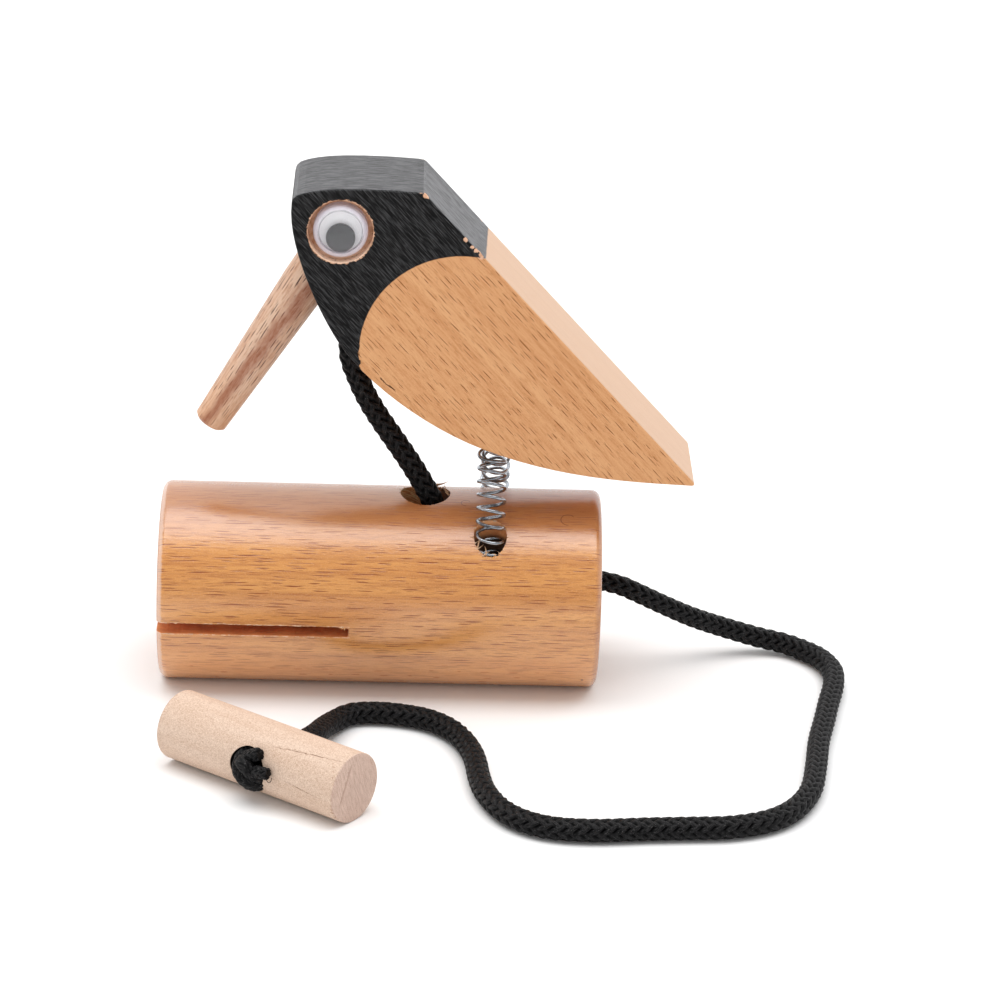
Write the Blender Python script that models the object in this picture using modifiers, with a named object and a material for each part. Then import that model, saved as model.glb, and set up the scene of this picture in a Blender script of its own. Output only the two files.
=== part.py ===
"""Woodpecker rhythm shaker: a wooden bird on two coil springs over a slit log drum.

A cord is glued into the bird's chest. It runs down through a hole in the log, out of
the log's right-hand end and on to a pull handle. A pull on the handle tips the bird on
its springs, and its beak strikes the log.

Metres, +Z up. +X runs along the log from its sounding end to its cord end, and -Y is
the front. The origin is the middle of the flat that the log rests on.
"""
import math

import bmesh
import bpy
from mathutils import Matrix, Vector
from mathutils.geometry import interpolate_bezier

MM = 0.001

# Clearances
GAP = 0.3 * MM                      # between two pieces that touch
SOCKET_PLAY = 0.3 * MM              # round a piece in its bore, on the radius

# Tools
SAW_OVERRUN = 10.0 * MM             # a saw cut starts this far outside the wood
PIVOT_SIZE = 5.0 * MM               # of the mark that shows a pivot

# Log, a beech billet with a sounding chamber that a saw cut opens on both sides
LOG_DIAMETER = 45.0 * MM
LOG_LENGTH = 99.3 * MM
LOG_RIM_ROUNDING = 2.0 * MM
LOG_SIDES = 80
FLAT_DEPTH = 1.5 * MM               # planed off the underside, so that it can't roll
CHAMBER_DIAMETER = 24.0 * MM
CHAMBER_DEPTH = 46.0 * MM
SLIT_LENGTH = 43.0 * MM
SLIT_HEIGHT = 2.6 * MM
SLIT_BELOW_AXIS = 2.6 * MM
CORD_HOLE_DIAMETER = 11.3 * MM      # one drill makes the hole and the tunnel
CORD_HOLE_X = 9.8 * MM

# Springs
SPRING_X = {"front": 24.5 * MM, "rear": 25.7 * MM}
SPRING_OUTER_DIAMETER = 6.8 * MM
SPRING_WIRE = 0.8 * MM
SPRING_PITCH = 3.0 * MM
SPRING_POINTS_PER_CURL = 10
SPRING_STEPS = 1600                         # in which the helix is worked out
SPRING_END_TURN = 2.4 * MM                  # run in which the coil turns into its straight end
SPRING_MOUTH_ANGLE = math.radians(37.2)     # round the log from its top line
SPRING_BORE_DEPTH = 9.5 * MM                # in the log
SPRING_SEAT_DEPTH = 8.0 * MM                # in the bird
SPRING_SEAT_SPREAD = 7.4 * MM               # of the bird's bores from its middle plane
SPRING_FREE_HEIGHT = 15.1 * MM              # from the log's top line to the belly

# Bird, sawn from a board. Its outline is (X from the front spring, height above the
# belly's datum, which is SPRING_FREE_HEIGHT over the log)
BIRD_THICKNESS = 25.2 * MM
BIRD_EDGE_ROUNDING = 0.45 * MM
TAIL_TIP = (45.1 * MM, -7.1 * MM)
TAIL_BLUNT = 0.9 * MM
BELLY_MIDDLE = (-2.1 * MM, 0.4 * MM)
CHEST_MIDDLE = (-34.8 * MM, 25.0 * MM)
CHIN_TOP = (-45.4 * MM, 54.4 * MM)
BELLY_SLOPES = (178.1, 159.4, 122.6, 90.0)  # degrees, at the four points above
BELLY_HANDLES = ((16.3 * MM, 17.5 * MM), (14.4 * MM, 10.6 * MM), (8.6 * MM, 8.6 * MM))
BELLY_STEPS = 12                            # points on each stretch of the belly
CROWN = ((-45.3 * MM, 56.6 * MM), (-45.0 * MM, 57.7 * MM), (-44.2 * MM, 58.5 * MM),
         (-42.6 * MM, 59.1 * MM), (-40.4 * MM, 59.6 * MM), (-37.6 * MM, 60.0 * MM),
         (-34.6 * MM, 60.2 * MM), (-30.0 * MM, 60.3 * MM), (-24.0 * MM, 60.2 * MM),
         (-18.2 * MM, 59.9 * MM), (-16.8 * MM, 59.7 * MM), (-16.2 * MM, 59.3 * MM))

# Beak, a tapered dowel glued into the chest
BEAK_ROOT_HEIGHT = 36.9 * MM                # above the belly's datum
BEAK_SLOPE = math.radians(57.9)             # below the horizontal
BEAK_ROOT_DIAMETER = 10.4 * MM
BEAK_TIP_DIAMETER = 7.5 * MM
BEAK_LENGTH = 43.0 * MM                     # outside the chest, along its axis
BEAK_TENON = 12.0 * MM                      # inside the chest
BEAK_STRAIGHT = 3.4 * MM                    # outside the chest, before the taper
BEAK_TIP_ROUNDING = 0.7 * MM
BEAK_TIP_DOME = 0.4 * MM                    # its end stands proud in the middle
BEAK_SIDES = 40

# Eyes: a clear dome over a white backing, with a loose pupil between them
EYE_CENTRE = (-34.6 * MM, 50.4 * MM)
EYE_RECESS_DIAMETER = 14.3 * MM
EYE_RECESS_DEPTH = 3.2 * MM
EYE_SIDES = 36
DOME_DIAMETER = 12.0 * MM
DOME_WALL = 0.6 * MM
DOME_HEIGHT = 3.7 * MM
DOME_RIM_HEIGHT = 2.1 * MM                  # straight side below the crown
DOME_CROWN_STEPS = 5
BACKING_THICKNESS = 0.8 * MM
PUPIL_DIAMETER = 6.4 * MM
PUPIL_THICKNESS = 0.7 * MM
PUPIL_DROP = 1.8 * MM                       # it hangs below the eye's centre

# Cord, in two stretches that meet inside the log
CORD_DIAMETER = 4.9 * MM
CORD_SEAT_X = -7.9 * MM                     # where it enters the chest
CORD_SEAT_DEPTH = 10.0 * MM
CORD_UPPER_STEP = 4.4 * MM                  # between the tube's points
CORD_TAIL_STEP = 6.0 * MM
CORD_UPPER_ROUTE = [
    (-7.9, 0.0, 90.1), (-7.9, 0.0, 85.5), (-7.9, 0.0, 81.5), (-7.9, 0.0, 78.0),
    (-7.5, 0.0, 75.0), (-6.2, 0.0, 71.5), (-4.7, 0.0, 68.0), (-2.9, 0.0, 64.6),
    (-0.8, 0.0, 61.2), (1.5, 0.0, 57.8), (3.9, 0.0, 54.3), (6.2, 0.0, 50.8),
    (8.4, 0.0, 47.2), (10.3, 0.0, 43.8), (11.9, 0.0, 40.4), (12.5, 0.0, 36.6),
    (12.5, 0.0, 32.6), (12.4, 0.0, 29.0), (12.8, 0.1, 25.6), (14.3, 0.2, 22.6),
    (17.0, 0.3, 20.7), (20.4, 0.4, 20.0), (24.0, 0.4, 20.0)]
CORD_TAIL_ROUTE = [
    (24.4, 0.4, 20.0), (30.0, 0.4, 20.0), (37.0, 0.6, 20.8), (44.0, 0.9, 22.0),
    (49.6, 1.1, 22.5), (54.8, 1.5, 21.3), (59.2, 2.3, 19.1), (65.6, 4.6, 15.2),
    (72.5, 8.0, 10.9), (80.0, 11.6, 7.0), (88.0, 13.1, 4.1), (94.0, 12.6, 2.9),
    (99.1, 10.6, 2.6), (102.8, 6.2, 2.6), (104.5, 0.0, 2.6), (104.0, -9.1, 2.6),
    (102.2, -18.5, 2.6), (100.3, -28.5, 2.6), (98.0, -40.3, 2.6), (96.3, -53.0, 2.6),
    (94.2, -64.6, 2.6), (90.0, -74.1, 2.6), (84.1, -80.2, 2.6), (75.9, -83.6, 2.6),
    (67.0, -84.6, 2.6), (58.0, -85.4, 2.6), (48.9, -86.4, 2.6), (40.0, -86.2, 2.6),
    (33.2, -83.5, 2.6), (27.6, -76.5, 2.6), (24.3, -66.0, 2.6), (21.0, -52.5, 2.6),
    (17.9, -41.8, 2.6), (13.4, -34.8, 2.6), (7.3, -31.4, 2.6), (0.6, -30.0, 2.6),
    (-5.6, -31.4, 2.6), (-9.4, -36.2, 2.9), (-11.7, -43.0, 4.4), (-13.2, -50.4, 6.4),
    (-15.1, -55.6, 7.5), (-17.6, -58.9, 7.7), (-23.5, -66.6, 7.7)]

# Pull handle, and the knot that holds the cord in it
HANDLE_DIAMETER = 15.4 * MM
HANDLE_LENGTH = 49.0 * MM
HANDLE_CENTRE = (-23.2 * MM, -64.3 * MM)
HANDLE_TURN = math.radians(-37.8)           # from +X, seen from above
HANDLE_RIM_ROUNDING = 0.35 * MM
HANDLE_SIDES = 48
KNOT_POCKET_DIAMETER = 9.4 * MM
KNOT_POCKET_X = 1.1 * MM                    # along the handle, from its middle
KNOT_POCKET_DEPTH = 5.7 * MM
KNOT_PROUD = 1.9 * MM                       # it stands out of its pocket
KNOT_END_DIAMETER = 3.0 * MM
KNOT_ENDS = ((4.5 * MM, 3.6 * MM), (6.3 * MM, -1.4 * MM))   # from the pocket, along and up
KNOT_END_START = 0.15                       # share of the way out at which an end starts
KNOT_END_BEND = 0.35                        # share at which it lies down on the handle

# Worked out from the sizes above
LOG_RADIUS = LOG_DIAMETER / 2
LOG_AXIS_Z = LOG_RADIUS - FLAT_DEPTH
LOG_TOP_Z = LOG_AXIS_Z + LOG_RADIUS
LOG_LEFT_X = -LOG_LENGTH / 2
LOG_RIGHT_X = LOG_LENGTH / 2
DATUM_X = SPRING_X["front"]
DATUM_Z = LOG_TOP_Z + SPRING_FREE_HEIGHT
SPRING_BORE_RADIUS = SPRING_OUTER_DIAMETER / 2 + SOCKET_PLAY
PECK_AXIS = Vector(((SPRING_X["front"] + SPRING_X["rear"]) / 2, 0.0,
                    LOG_TOP_Z + SPRING_FREE_HEIGHT / 3))
OUTWARDS = {"front": -1.0, "rear": 1.0}
PARTS = "woodpecker_rhythm_shaker"
CUTTERS = "cutters"


# Workshop: what every section below uses

def start_scene():
    """Empty the scene, and make one collection for the parts and one for the cutters."""
    for thing in list(bpy.data.objects):
        bpy.data.objects.remove(thing, do_unlink=True)
    for name in (PARTS, CUTTERS):
        group = bpy.data.collections.new(name)
        bpy.context.scene.collection.children.link(group)


def finish(name, colour, roughness, metallic=0.0, alpha=1.0):
    """A Principled material."""
    material = bpy.data.materials.new(name)
    material.use_nodes = True
    shader = material.node_tree.nodes["Principled BSDF"]
    shader.inputs["Base Color"].default_value = (*colour, 1.0)
    shader.inputs["Roughness"].default_value = roughness
    shader.inputs["Metallic"].default_value = metallic
    shader.inputs["Alpha"].default_value = alpha
    return material


def place(name, data, group=PARTS, material=None, smooth=True):
    """Put a mesh or curve in the scene as one object."""
    thing = bpy.data.objects.new(name, data)
    bpy.data.collections[group].objects.link(thing)
    if material:
        data.materials.append(material)
    if smooth and isinstance(data, bpy.types.Mesh):
        data.shade_smooth()
        data.set_sharp_from_angle(angle=math.radians(35))
    return thing


def mesh_from(bm, name):
    """Close a bmesh into a mesh with its faces turned outwards."""
    bmesh.ops.recalc_face_normals(bm, faces=bm.faces)
    mesh = bpy.data.meshes.new(name)
    bm.to_mesh(mesh)
    bm.free()
    return mesh


def cylinder_mesh(name, radius, length, sides):
    """A closed cylinder along +Z, with its middle at the origin."""
    bm = bmesh.new()
    bmesh.ops.create_cone(bm, cap_ends=True, segments=sides, radius1=radius,
                          radius2=radius, depth=length)
    return mesh_from(bm, name)


def box_mesh(name, size):
    """A closed box of this size, with its middle at the origin."""
    bm = bmesh.new()
    bmesh.ops.create_cube(bm, size=1.0, matrix=Matrix.Diagonal((*size, 1.0)))
    return mesh_from(bm, name)


def along(direction, middle):
    """The placement that turns +Z to a direction and moves the origin to a point."""
    turn = Vector((0.0, 0.0, 1.0)).rotation_difference(Vector(direction))
    return Matrix.Translation(Vector(middle)) @ turn.to_matrix().to_4x4()


def drill(target, name, mouth, inwards, diameter, depth, sides=36):
    """Cut a round blind hole: depth is from the mouth, and the bit starts a diameter outside."""
    inwards = Vector(inwards).normalized()
    length = depth + diameter
    middle = Vector(mouth) + inwards * (depth - length / 2)
    bit = place(name, cylinder_mesh(name, diameter / 2, length, sides), CUTTERS)
    bit.matrix_world = along(inwards, middle)
    cut(target, bit)


def saw(target, name, low, high):
    """Cut away the box between two corners."""
    low, high = Vector(low), Vector(high)
    blade = place(name, box_mesh(name, high - low), CUTTERS)
    blade.location = (low + high) / 2
    cut(target, blade)


def cut(target, tool):
    """Take the tool's shape out of the target."""
    tool.hide_render = True
    tool.display_type = "WIRE"
    boolean = target.modifiers.new(tool.name, "BOOLEAN")
    boolean.operation = "DIFFERENCE"
    boolean.solver = "EXACT"
    boolean.object = tool


def round_edges(thing, width, segments=2):
    """Ease the sharp edges that the thing has so far."""
    bevel = thing.modifiers.new("eased_edges", "BEVEL")
    bevel.width = width
    bevel.segments = segments
    bevel.limit_method = "ANGLE"
    bevel.angle_limit = math.radians(40)


def lathe(name, profile, sides, material):
    """A turned piece about +Z: profile is (radius, height), outer side first, downwards."""
    mesh = bpy.data.meshes.new(name)
    corners = [(radius, 0.0, height) for radius, height in profile]
    mesh.from_pydata(corners, [(i, i + 1) for i in range(len(corners) - 1)], [])
    thing = place(name, mesh, material=material, smooth=False)
    screw = thing.modifiers.new("turned", "SCREW")
    screw.steps = sides
    screw.render_steps = sides
    screw.use_merge_vertices = True
    screw.merge_threshold = 0.00001
    screw.use_smooth_shade = True
    return thing


def tube(name, points, diameter, roundness, material):
    """A round bar or cord along a list of points."""
    curve = bpy.data.curves.new(name, "CURVE")
    curve.dimensions = "3D"
    curve.bevel_depth = diameter / 2
    curve.bevel_resolution = roundness
    curve.use_fill_caps = True
    spline = curve.splines.new("POLY")
    spline.points.add(len(points) - 1)
    for knot, point in zip(spline.points, points):
        knot.co = (*point, 1.0)
    return place(name, curve, material=material)


def as_mesh(thing):
    """Turn a curve object into a mesh object of the same name, with its seams welded."""
    depsgraph = bpy.context.evaluated_depsgraph_get()
    mesh = bpy.data.meshes.new_from_object(thing.evaluated_get(depsgraph))
    bm = bmesh.new()
    bm.from_mesh(mesh)
    bmesh.ops.remove_doubles(bm, verts=bm.verts, dist=0.000005)
    bmesh.ops.dissolve_limit(bm, angle_limit=0.01, verts=bm.verts, edges=bm.edges)
    bmesh.ops.recalc_face_normals(bm, faces=bm.faces)
    bm.to_mesh(mesh)
    bm.free()
    name, group, world = thing.name, thing.users_collection[0].name, thing.matrix_world.copy()
    bpy.data.objects.remove(thing, do_unlink=True)
    solid = place(name, mesh, group)
    solid.matrix_world = world
    return solid


def carry(thing, carrier):
    """Make a piece move with an empty, and leave it where it is."""
    thing.parent = carrier
    thing.matrix_parent_inverse = Matrix.Translation(-carrier.location)


def pivot(name, location):
    """An empty that carries a moving group, on the axis that the group turns about."""
    empty = place(name, None)
    empty.location = location
    empty.empty_display_size = PIVOT_SIZE
    return empty


def smooth_route(route, step):
    """Evenly spaced points on a smooth curve through a route's own points, in metres."""
    knots = [Vector(point) * MM for point in route]
    fine = []
    for i in range(len(knots) - 1):
        before = knots[max(i - 1, 0)]
        a, b = knots[i], knots[i + 1]
        after = knots[min(i + 2, len(knots) - 1)]
        fine += interpolate_bezier(a, a + (b - before) / 6, b - (after - a) / 6, b, 12)[:-1]
    fine.append(knots[-1])
    length = sum((q - p).length for p, q in zip(fine, fine[1:]))
    wanted = [length * k / round(length / step) for k in range(round(length / step) + 1)]
    points, run, k = [fine[0]], 0.0, 1
    for p, q in zip(fine, fine[1:]):
        stretch = (q - p).length
        while k < len(wanted) - 1 and run + stretch >= wanted[k]:
            points.append(p.lerp(q, (wanted[k] - run) / stretch))
            k += 1
        run += stretch
    points.append(fine[-1])
    return points, length


# Log

def spring_mouth(side):
    """Where a spring leaves the log. Its bore goes straight down from there."""
    out = OUTWARDS[side]
    return Vector((SPRING_X[side], out * LOG_RADIUS * math.sin(SPRING_MOUTH_ANGLE),
                   LOG_AXIS_Z + LOG_RADIUS * math.cos(SPRING_MOUTH_ANGLE)))


def make_log(beech):
    log = place("log", cylinder_mesh("log", LOG_RADIUS, LOG_LENGTH, LOG_SIDES),
                material=beech)
    log.matrix_world = along((1.0, 0.0, 0.0), (0.0, 0.0, LOG_AXIS_Z))
    round_edges(log, LOG_RIM_ROUNDING, 3)
    axis_left = (LOG_LEFT_X, 0.0, LOG_AXIS_Z)
    axis_right = (LOG_RIGHT_X, 0.0, LOG_AXIS_Z)
    saw(log, "flat_plane", (LOG_LEFT_X - SAW_OVERRUN, -LOG_RADIUS, -LOG_RADIUS),
        (LOG_RIGHT_X + SAW_OVERRUN, LOG_RADIUS, 0.0))
    drill(log, "chamber_bit", axis_left, (1, 0, 0), CHAMBER_DIAMETER, CHAMBER_DEPTH, sides=48)
    slit_z = LOG_AXIS_Z - SLIT_BELOW_AXIS
    side_y = LOG_RADIUS + SAW_OVERRUN
    saw(log, "slit_saw", (LOG_LEFT_X - SAW_OVERRUN, -side_y, slit_z - SLIT_HEIGHT / 2),
        (LOG_LEFT_X + SLIT_LENGTH, side_y, slit_z + SLIT_HEIGHT / 2))
    drill(log, "cord_hole_bit", (CORD_HOLE_X, 0.0, LOG_TOP_Z), (0, 0, -1), CORD_HOLE_DIAMETER,
          LOG_RADIUS + CORD_HOLE_DIAMETER / 2)
    tunnel_length = LOG_RIGHT_X - CORD_HOLE_X + CORD_HOLE_DIAMETER / 4
    drill(log, "tunnel_bit", axis_right, (-1, 0, 0), CORD_HOLE_DIAMETER, tunnel_length, sides=40)
    for side in OUTWARDS:
        drill(log, "log_spring_bit_" + side, spring_mouth(side), (0, 0, -1),
              SPRING_BORE_RADIUS * 2, SPRING_BORE_DEPTH, sides=24)


# Bird

def belly_line():
    """The bird's underside from the tail to the chin, as points in the board's plane."""
    ends = (TAIL_TIP, BELLY_MIDDLE, CHEST_MIDDLE, CHIN_TOP)
    ends = [Vector((DATUM_X + x, DATUM_Z + height)) for x, height in ends]
    slopes = [Vector((math.cos(math.radians(a)), math.sin(math.radians(a))))
              for a in BELLY_SLOPES]
    line = []
    for i, (leave, arrive) in enumerate(BELLY_HANDLES):
        line += interpolate_bezier(ends[i], ends[i] + slopes[i] * leave,
                                   ends[i + 1] - slopes[i + 1] * arrive, ends[i + 1],
                                   BELLY_STEPS + 1)[:-1]
    line.append(ends[-1])
    return line


def on_belly(value, axis):
    """The point of the underside at an X (axis 0) or at a height (axis 1)."""
    line = belly_line()
    for a, b in zip(line, line[1:]):
        if min(a[axis], b[axis]) <= value <= max(a[axis], b[axis]):
            return a.lerp(b, (value - a[axis]) / (b[axis] - a[axis]))
    raise ValueError("the underside doesn't reach there")


def beak_line():
    """Where the beak's axis meets the chest, and the direction in which it points."""
    root = on_belly(DATUM_Z + BEAK_ROOT_HEIGHT, 1)
    return (Vector((root.x, 0.0, root.y)),
            Vector((-math.cos(BEAK_SLOPE), 0.0, -math.sin(BEAK_SLOPE))))


def eye_centre(side):
    """The middle of the eye, on the face of the board."""
    return Vector((DATUM_X + EYE_CENTRE[0], OUTWARDS[side] * BIRD_THICKNESS / 2,
                   DATUM_Z + EYE_CENTRE[1]))


def make_bird(beech, carrier):
    outline = belly_line()
    outline += [Vector((DATUM_X + x, DATUM_Z + height)) for x, height in CROWN]
    outline.append(outline[0] + Vector((0.0, TAIL_BLUNT)))
    curve = bpy.data.curves.new("bird_body", "CURVE")
    curve.dimensions = "2D"
    curve.fill_mode = "BOTH"
    curve.extrude = BIRD_THICKNESS / 2
    spline = curve.splines.new("POLY")
    spline.points.add(len(outline) - 1)
    for knot, point in zip(spline.points, outline):
        knot.co = (point.x, point.y, 0.0, 1.0)
    spline.use_cyclic_u = True
    board = place("bird_body", curve)
    board.matrix_world = Matrix.Rotation(math.radians(90), 4, "X")
    bpy.context.view_layer.update()
    body = as_mesh(board)
    body.data.materials.append(beech)
    round_edges(body, BIRD_EDGE_ROUNDING)

    root, pointing = beak_line()
    drill(body, "beak_bit", root, -pointing, BEAK_ROOT_DIAMETER + 2 * SOCKET_PLAY,
          BEAK_TENON + GAP)
    chest = on_belly(CORD_SEAT_X, 0)
    drill(body, "cord_seat_bit", (chest.x, 0.0, chest.y), (0, 0, 1),
          CORD_DIAMETER + 2 * SOCKET_PLAY, CORD_SEAT_DEPTH, sides=24)
    for side in OUTWARDS:
        drill(body, "eye_bit_" + side, eye_centre(side), (0, -OUTWARDS[side], 0),
              EYE_RECESS_DIAMETER, EYE_RECESS_DEPTH)
        drill(body, "bird_spring_bit_" + side, spring_seat(side), (0, 0, 1),
              SPRING_BORE_RADIUS * 2, SPRING_SEAT_DEPTH, sides=24)
    carry(body, carrier)


def make_beak(beech, carrier):
    root, pointing = beak_line()
    root_radius, tip_radius = BEAK_ROOT_DIAMETER / 2, BEAK_TIP_DIAMETER / 2
    shoulder = BEAK_LENGTH - BEAK_TIP_DOME
    profile = [(0.0, BEAK_LENGTH), (tip_radius - BEAK_TIP_ROUNDING, shoulder),
               (tip_radius, shoulder - BEAK_TIP_ROUNDING), (root_radius, BEAK_STRAIGHT),
               (root_radius, -BEAK_TENON), (0.0, -BEAK_TENON)]
    beak = lathe("beak", profile, BEAK_SIDES, beech)
    beak.matrix_world = along(pointing, root)
    carry(beak, carrier)


# Eyes

def dome_profile():
    """The clear dome's outline about its axis, with its rim at height 0."""
    outer, inner = DOME_DIAMETER / 2, DOME_DIAMETER / 2 - DOME_WALL
    crown = DOME_HEIGHT - DOME_RIM_HEIGHT
    turns = [math.pi / 2 * k / DOME_CROWN_STEPS for k in range(DOME_CROWN_STEPS + 1)]
    outside = [(outer * math.sin(t), DOME_RIM_HEIGHT + crown * math.cos(t)) for t in turns]
    inside = [(inner * math.sin(t), DOME_RIM_HEIGHT + (crown - DOME_WALL) * math.cos(t))
              for t in reversed(turns)]
    return outside + [(outer, 0.0), (inner, 0.0)] + inside


def make_eye(side, clear, white, grey, carrier):
    """The dome is glued to the floor of its recess and holds the backing in its rim."""
    out = OUTWARDS[side]
    face = eye_centre(side)
    floor = face - Vector((0.0, out * (EYE_RECESS_DEPTH - GAP), 0.0))
    turn = Matrix.Rotation(math.radians(90), 4, "X")
    if side == "rear":
        turn = Matrix.Rotation(math.pi, 4, "Z") @ turn

    dome = lathe("eye_dome_" + side, dome_profile(), EYE_SIDES, clear)
    dome.matrix_world = Matrix.Translation(floor) @ turn
    backing_radius = DOME_DIAMETER / 2 - DOME_WALL - GAP
    backing = place("eye_backing_" + side,
                    cylinder_mesh("eye_backing_" + side, backing_radius, BACKING_THICKNESS,
                                  EYE_SIDES), material=white)
    backing.matrix_world = (Matrix.Translation(floor) @ turn
                            @ Matrix.Translation((0.0, 0.0, BACKING_THICKNESS / 2)))

    bm = bmesh.new()
    bmesh.ops.create_cone(bm, cap_ends=True, segments=EYE_SIDES, radius1=PUPIL_DIAMETER / 2,
                          radius2=PUPIL_DIAMETER / 2, depth=PUPIL_THICKNESS,
                          matrix=Matrix.Translation((0.0, -PUPIL_DROP, 0.0)))
    pupil = place("pupil_" + side, mesh_from(bm, "pupil_" + side), material=grey)
    pupil_height = BACKING_THICKNESS + GAP + PUPIL_THICKNESS / 2
    pupil.matrix_world = (Matrix.Translation(floor) @ turn
                          @ Matrix.Translation((0.0, 0.0, pupil_height)))
    for piece in (dome, backing, pupil):
        carry(piece, carrier)


# Springs

def spring_seat(side):
    """Where a spring enters the belly."""
    point = on_belly(SPRING_X[side], 0)
    return Vector((point.x, OUTWARDS[side] * SPRING_SEAT_SPREAD, point.y))


def spring_axis(side):
    """The line that a spring is wound round, from one bore's end to the other's."""
    mouth, seat = spring_mouth(side), spring_seat(side)
    up = Vector((0.0, 0.0, 1.0))
    below_seat = seat - up * SPRING_OUTER_DIAMETER / 4
    reach = (below_seat - mouth).length / 3
    line = [mouth - up * (SPRING_BORE_DEPTH - GAP)]
    line += interpolate_bezier(mouth, mouth + up * reach, below_seat - up * reach,
                               below_seat, 40)
    line.append(seat + up * (SPRING_SEAT_DEPTH - GAP))
    return line


def spring_wire_points(side):
    """Points along the wire: a helix whose ends turn into short straight tails."""
    line = spring_axis(side)
    runs = [(b - a).length for a, b in zip(line, line[1:])]
    length = sum(runs)
    coil_radius = (SPRING_OUTER_DIAMETER - SPRING_WIRE) / 2
    across = Vector((1.0, 0.0, 0.0))
    spacing = math.tau * coil_radius / SPRING_POINTS_PER_CURL
    points, turn, along_wire = [], 0.0, 0.0
    wire = None
    for k in range(SPRING_STEPS + 1):
        at = length * k / SPRING_STEPS
        rest, i = at, 0
        while i < len(runs) - 1 and rest > runs[i]:
            rest -= runs[i]
            i += 1
        direction = (line[i + 1] - line[i]).normalized()
        centre = line[i] + direction * rest
        normal = across.cross(direction)
        here = centre + coil_radius * (math.cos(turn) * across + math.sin(turn) * normal)
        if wire is None:
            points.append(here)
        else:
            along_wire += (here - wire).length
            if along_wire >= spacing:
                points.append(here)
                along_wire = 0.0
        wire = here
        from_end = (min(at, length - at) - SPRING_WIRE) / SPRING_END_TURN
        share = min(max(from_end, 0.0), 1.0)
        curls = length / SPRING_STEPS / SPRING_PITCH
        turn += math.tau * curls * share * share * (3 - 2 * share)
    if along_wire > spacing / 2:
        points.append(wire)
    else:
        points[-1] = wire
    return points


def least_gap(points, diameter):
    """The least clear distance between turns of a tube that are not neighbours along it."""
    apart = SPRING_POINTS_PER_CURL // 2
    return min((a - b).length for i, a in enumerate(points)
               for b in points[i + apart:]) - diameter


def make_spring(side, steel):
    points = spring_wire_points(side)
    tube("spring_" + side, points, SPRING_WIRE, 1, steel)
    print(f"spring_{side}: least gap between turns "
          f"{least_gap(points, SPRING_WIRE) / MM:.2f} mm")


# Cord, handle and knot

def make_cord(name, route, step, black):
    points, length = smooth_route(route, step)
    cord = tube(name, points, CORD_DIAMETER, 2, black)
    print(f"{name}: {length / MM:.1f} mm long, {len(points)} points")
    return cord


def handle_frame(shift=0.0):
    """A placement on the handle's axis: X along it, -Y out of the knot's pocket, Z up."""
    centre = Vector((*HANDLE_CENTRE, HANDLE_DIAMETER / 2))
    return (Matrix.Translation(centre) @ Matrix.Rotation(HANDLE_TURN, 4, "Z")
            @ Matrix.Translation((shift, 0.0, 0.0)))


def make_handle(maple, carrier):
    handle = place("pull_handle", cylinder_mesh("pull_handle", HANDLE_DIAMETER / 2,
                                                HANDLE_LENGTH, HANDLE_SIDES), material=maple)
    handle.matrix_world = handle_frame() @ Matrix.Rotation(math.radians(90), 4, "Y")
    frame = handle_frame(KNOT_POCKET_X)
    round_edges(handle, HANDLE_RIM_ROUNDING)
    inwards = frame.to_3x3() @ Vector((0.0, 1.0, 0.0))
    front = frame @ Vector((0.0, -HANDLE_DIAMETER / 2, 0.0))
    drill(handle, "cord_bit", front, inwards, CORD_DIAMETER + 2 * SOCKET_PLAY,
          HANDLE_DIAMETER + CORD_DIAMETER, sides=24)
    drill(handle, "knot_pocket_bit", front, inwards, KNOT_POCKET_DIAMETER, KNOT_POCKET_DEPTH,
          sides=32)
    carry(handle, carrier)


def make_knot(black, carrier):
    """The cord's knot fills its pocket, and two cut ends lie over the handle."""
    frame = handle_frame(KNOT_POCKET_X)
    floor = HANDLE_DIAMETER / 2 - KNOT_POCKET_DEPTH + GAP
    top = HANDLE_DIAMETER / 2 + KNOT_PROUD
    radius = KNOT_POCKET_DIAMETER / 2 - SOCKET_PLAY
    bm = bmesh.new()
    shape = Matrix.Translation((0.0, -(floor + top) / 2, 0.0)) @ Matrix.Diagonal(
        (radius, (top - floor) / 2, radius, 1.0))
    bmesh.ops.create_uvsphere(bm, u_segments=20, v_segments=12, radius=1.0, matrix=shape)
    knot = place("cord_knot", mesh_from(bm, "cord_knot"), material=black)
    knot.matrix_world = frame
    clear = -(HANDLE_DIAMETER / 2 + GAP + KNOT_END_DIAMETER / 2)
    for i, (sideways, upwards) in enumerate(KNOT_ENDS):
        end = Vector((sideways, clear, upwards))
        start, bend = end * KNOT_END_START, end * KNOT_END_BEND
        start.y, bend.y = -(floor + top) / 2, clear
        points = interpolate_bezier(start, bend, bend.lerp(end, KNOT_END_BEND), end, 6)
        stub = tube(f"knot_end_{i}", points, KNOT_END_DIAMETER, 2, None)
        stub.matrix_world = frame
        bpy.context.view_layer.update()
        stub = as_mesh(stub)
        bpy.data.collections[PARTS].objects.unlink(stub)
        bpy.data.collections[CUTTERS].objects.link(stub)
        stub.hide_render = True
        stub.display_type = "WIRE"
        union = knot.modifiers.new(stub.name, "BOOLEAN")
        union.operation = "UNION"
        union.solver = "EXACT"
        union.object = stub
    carry(knot, carrier)


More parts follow.
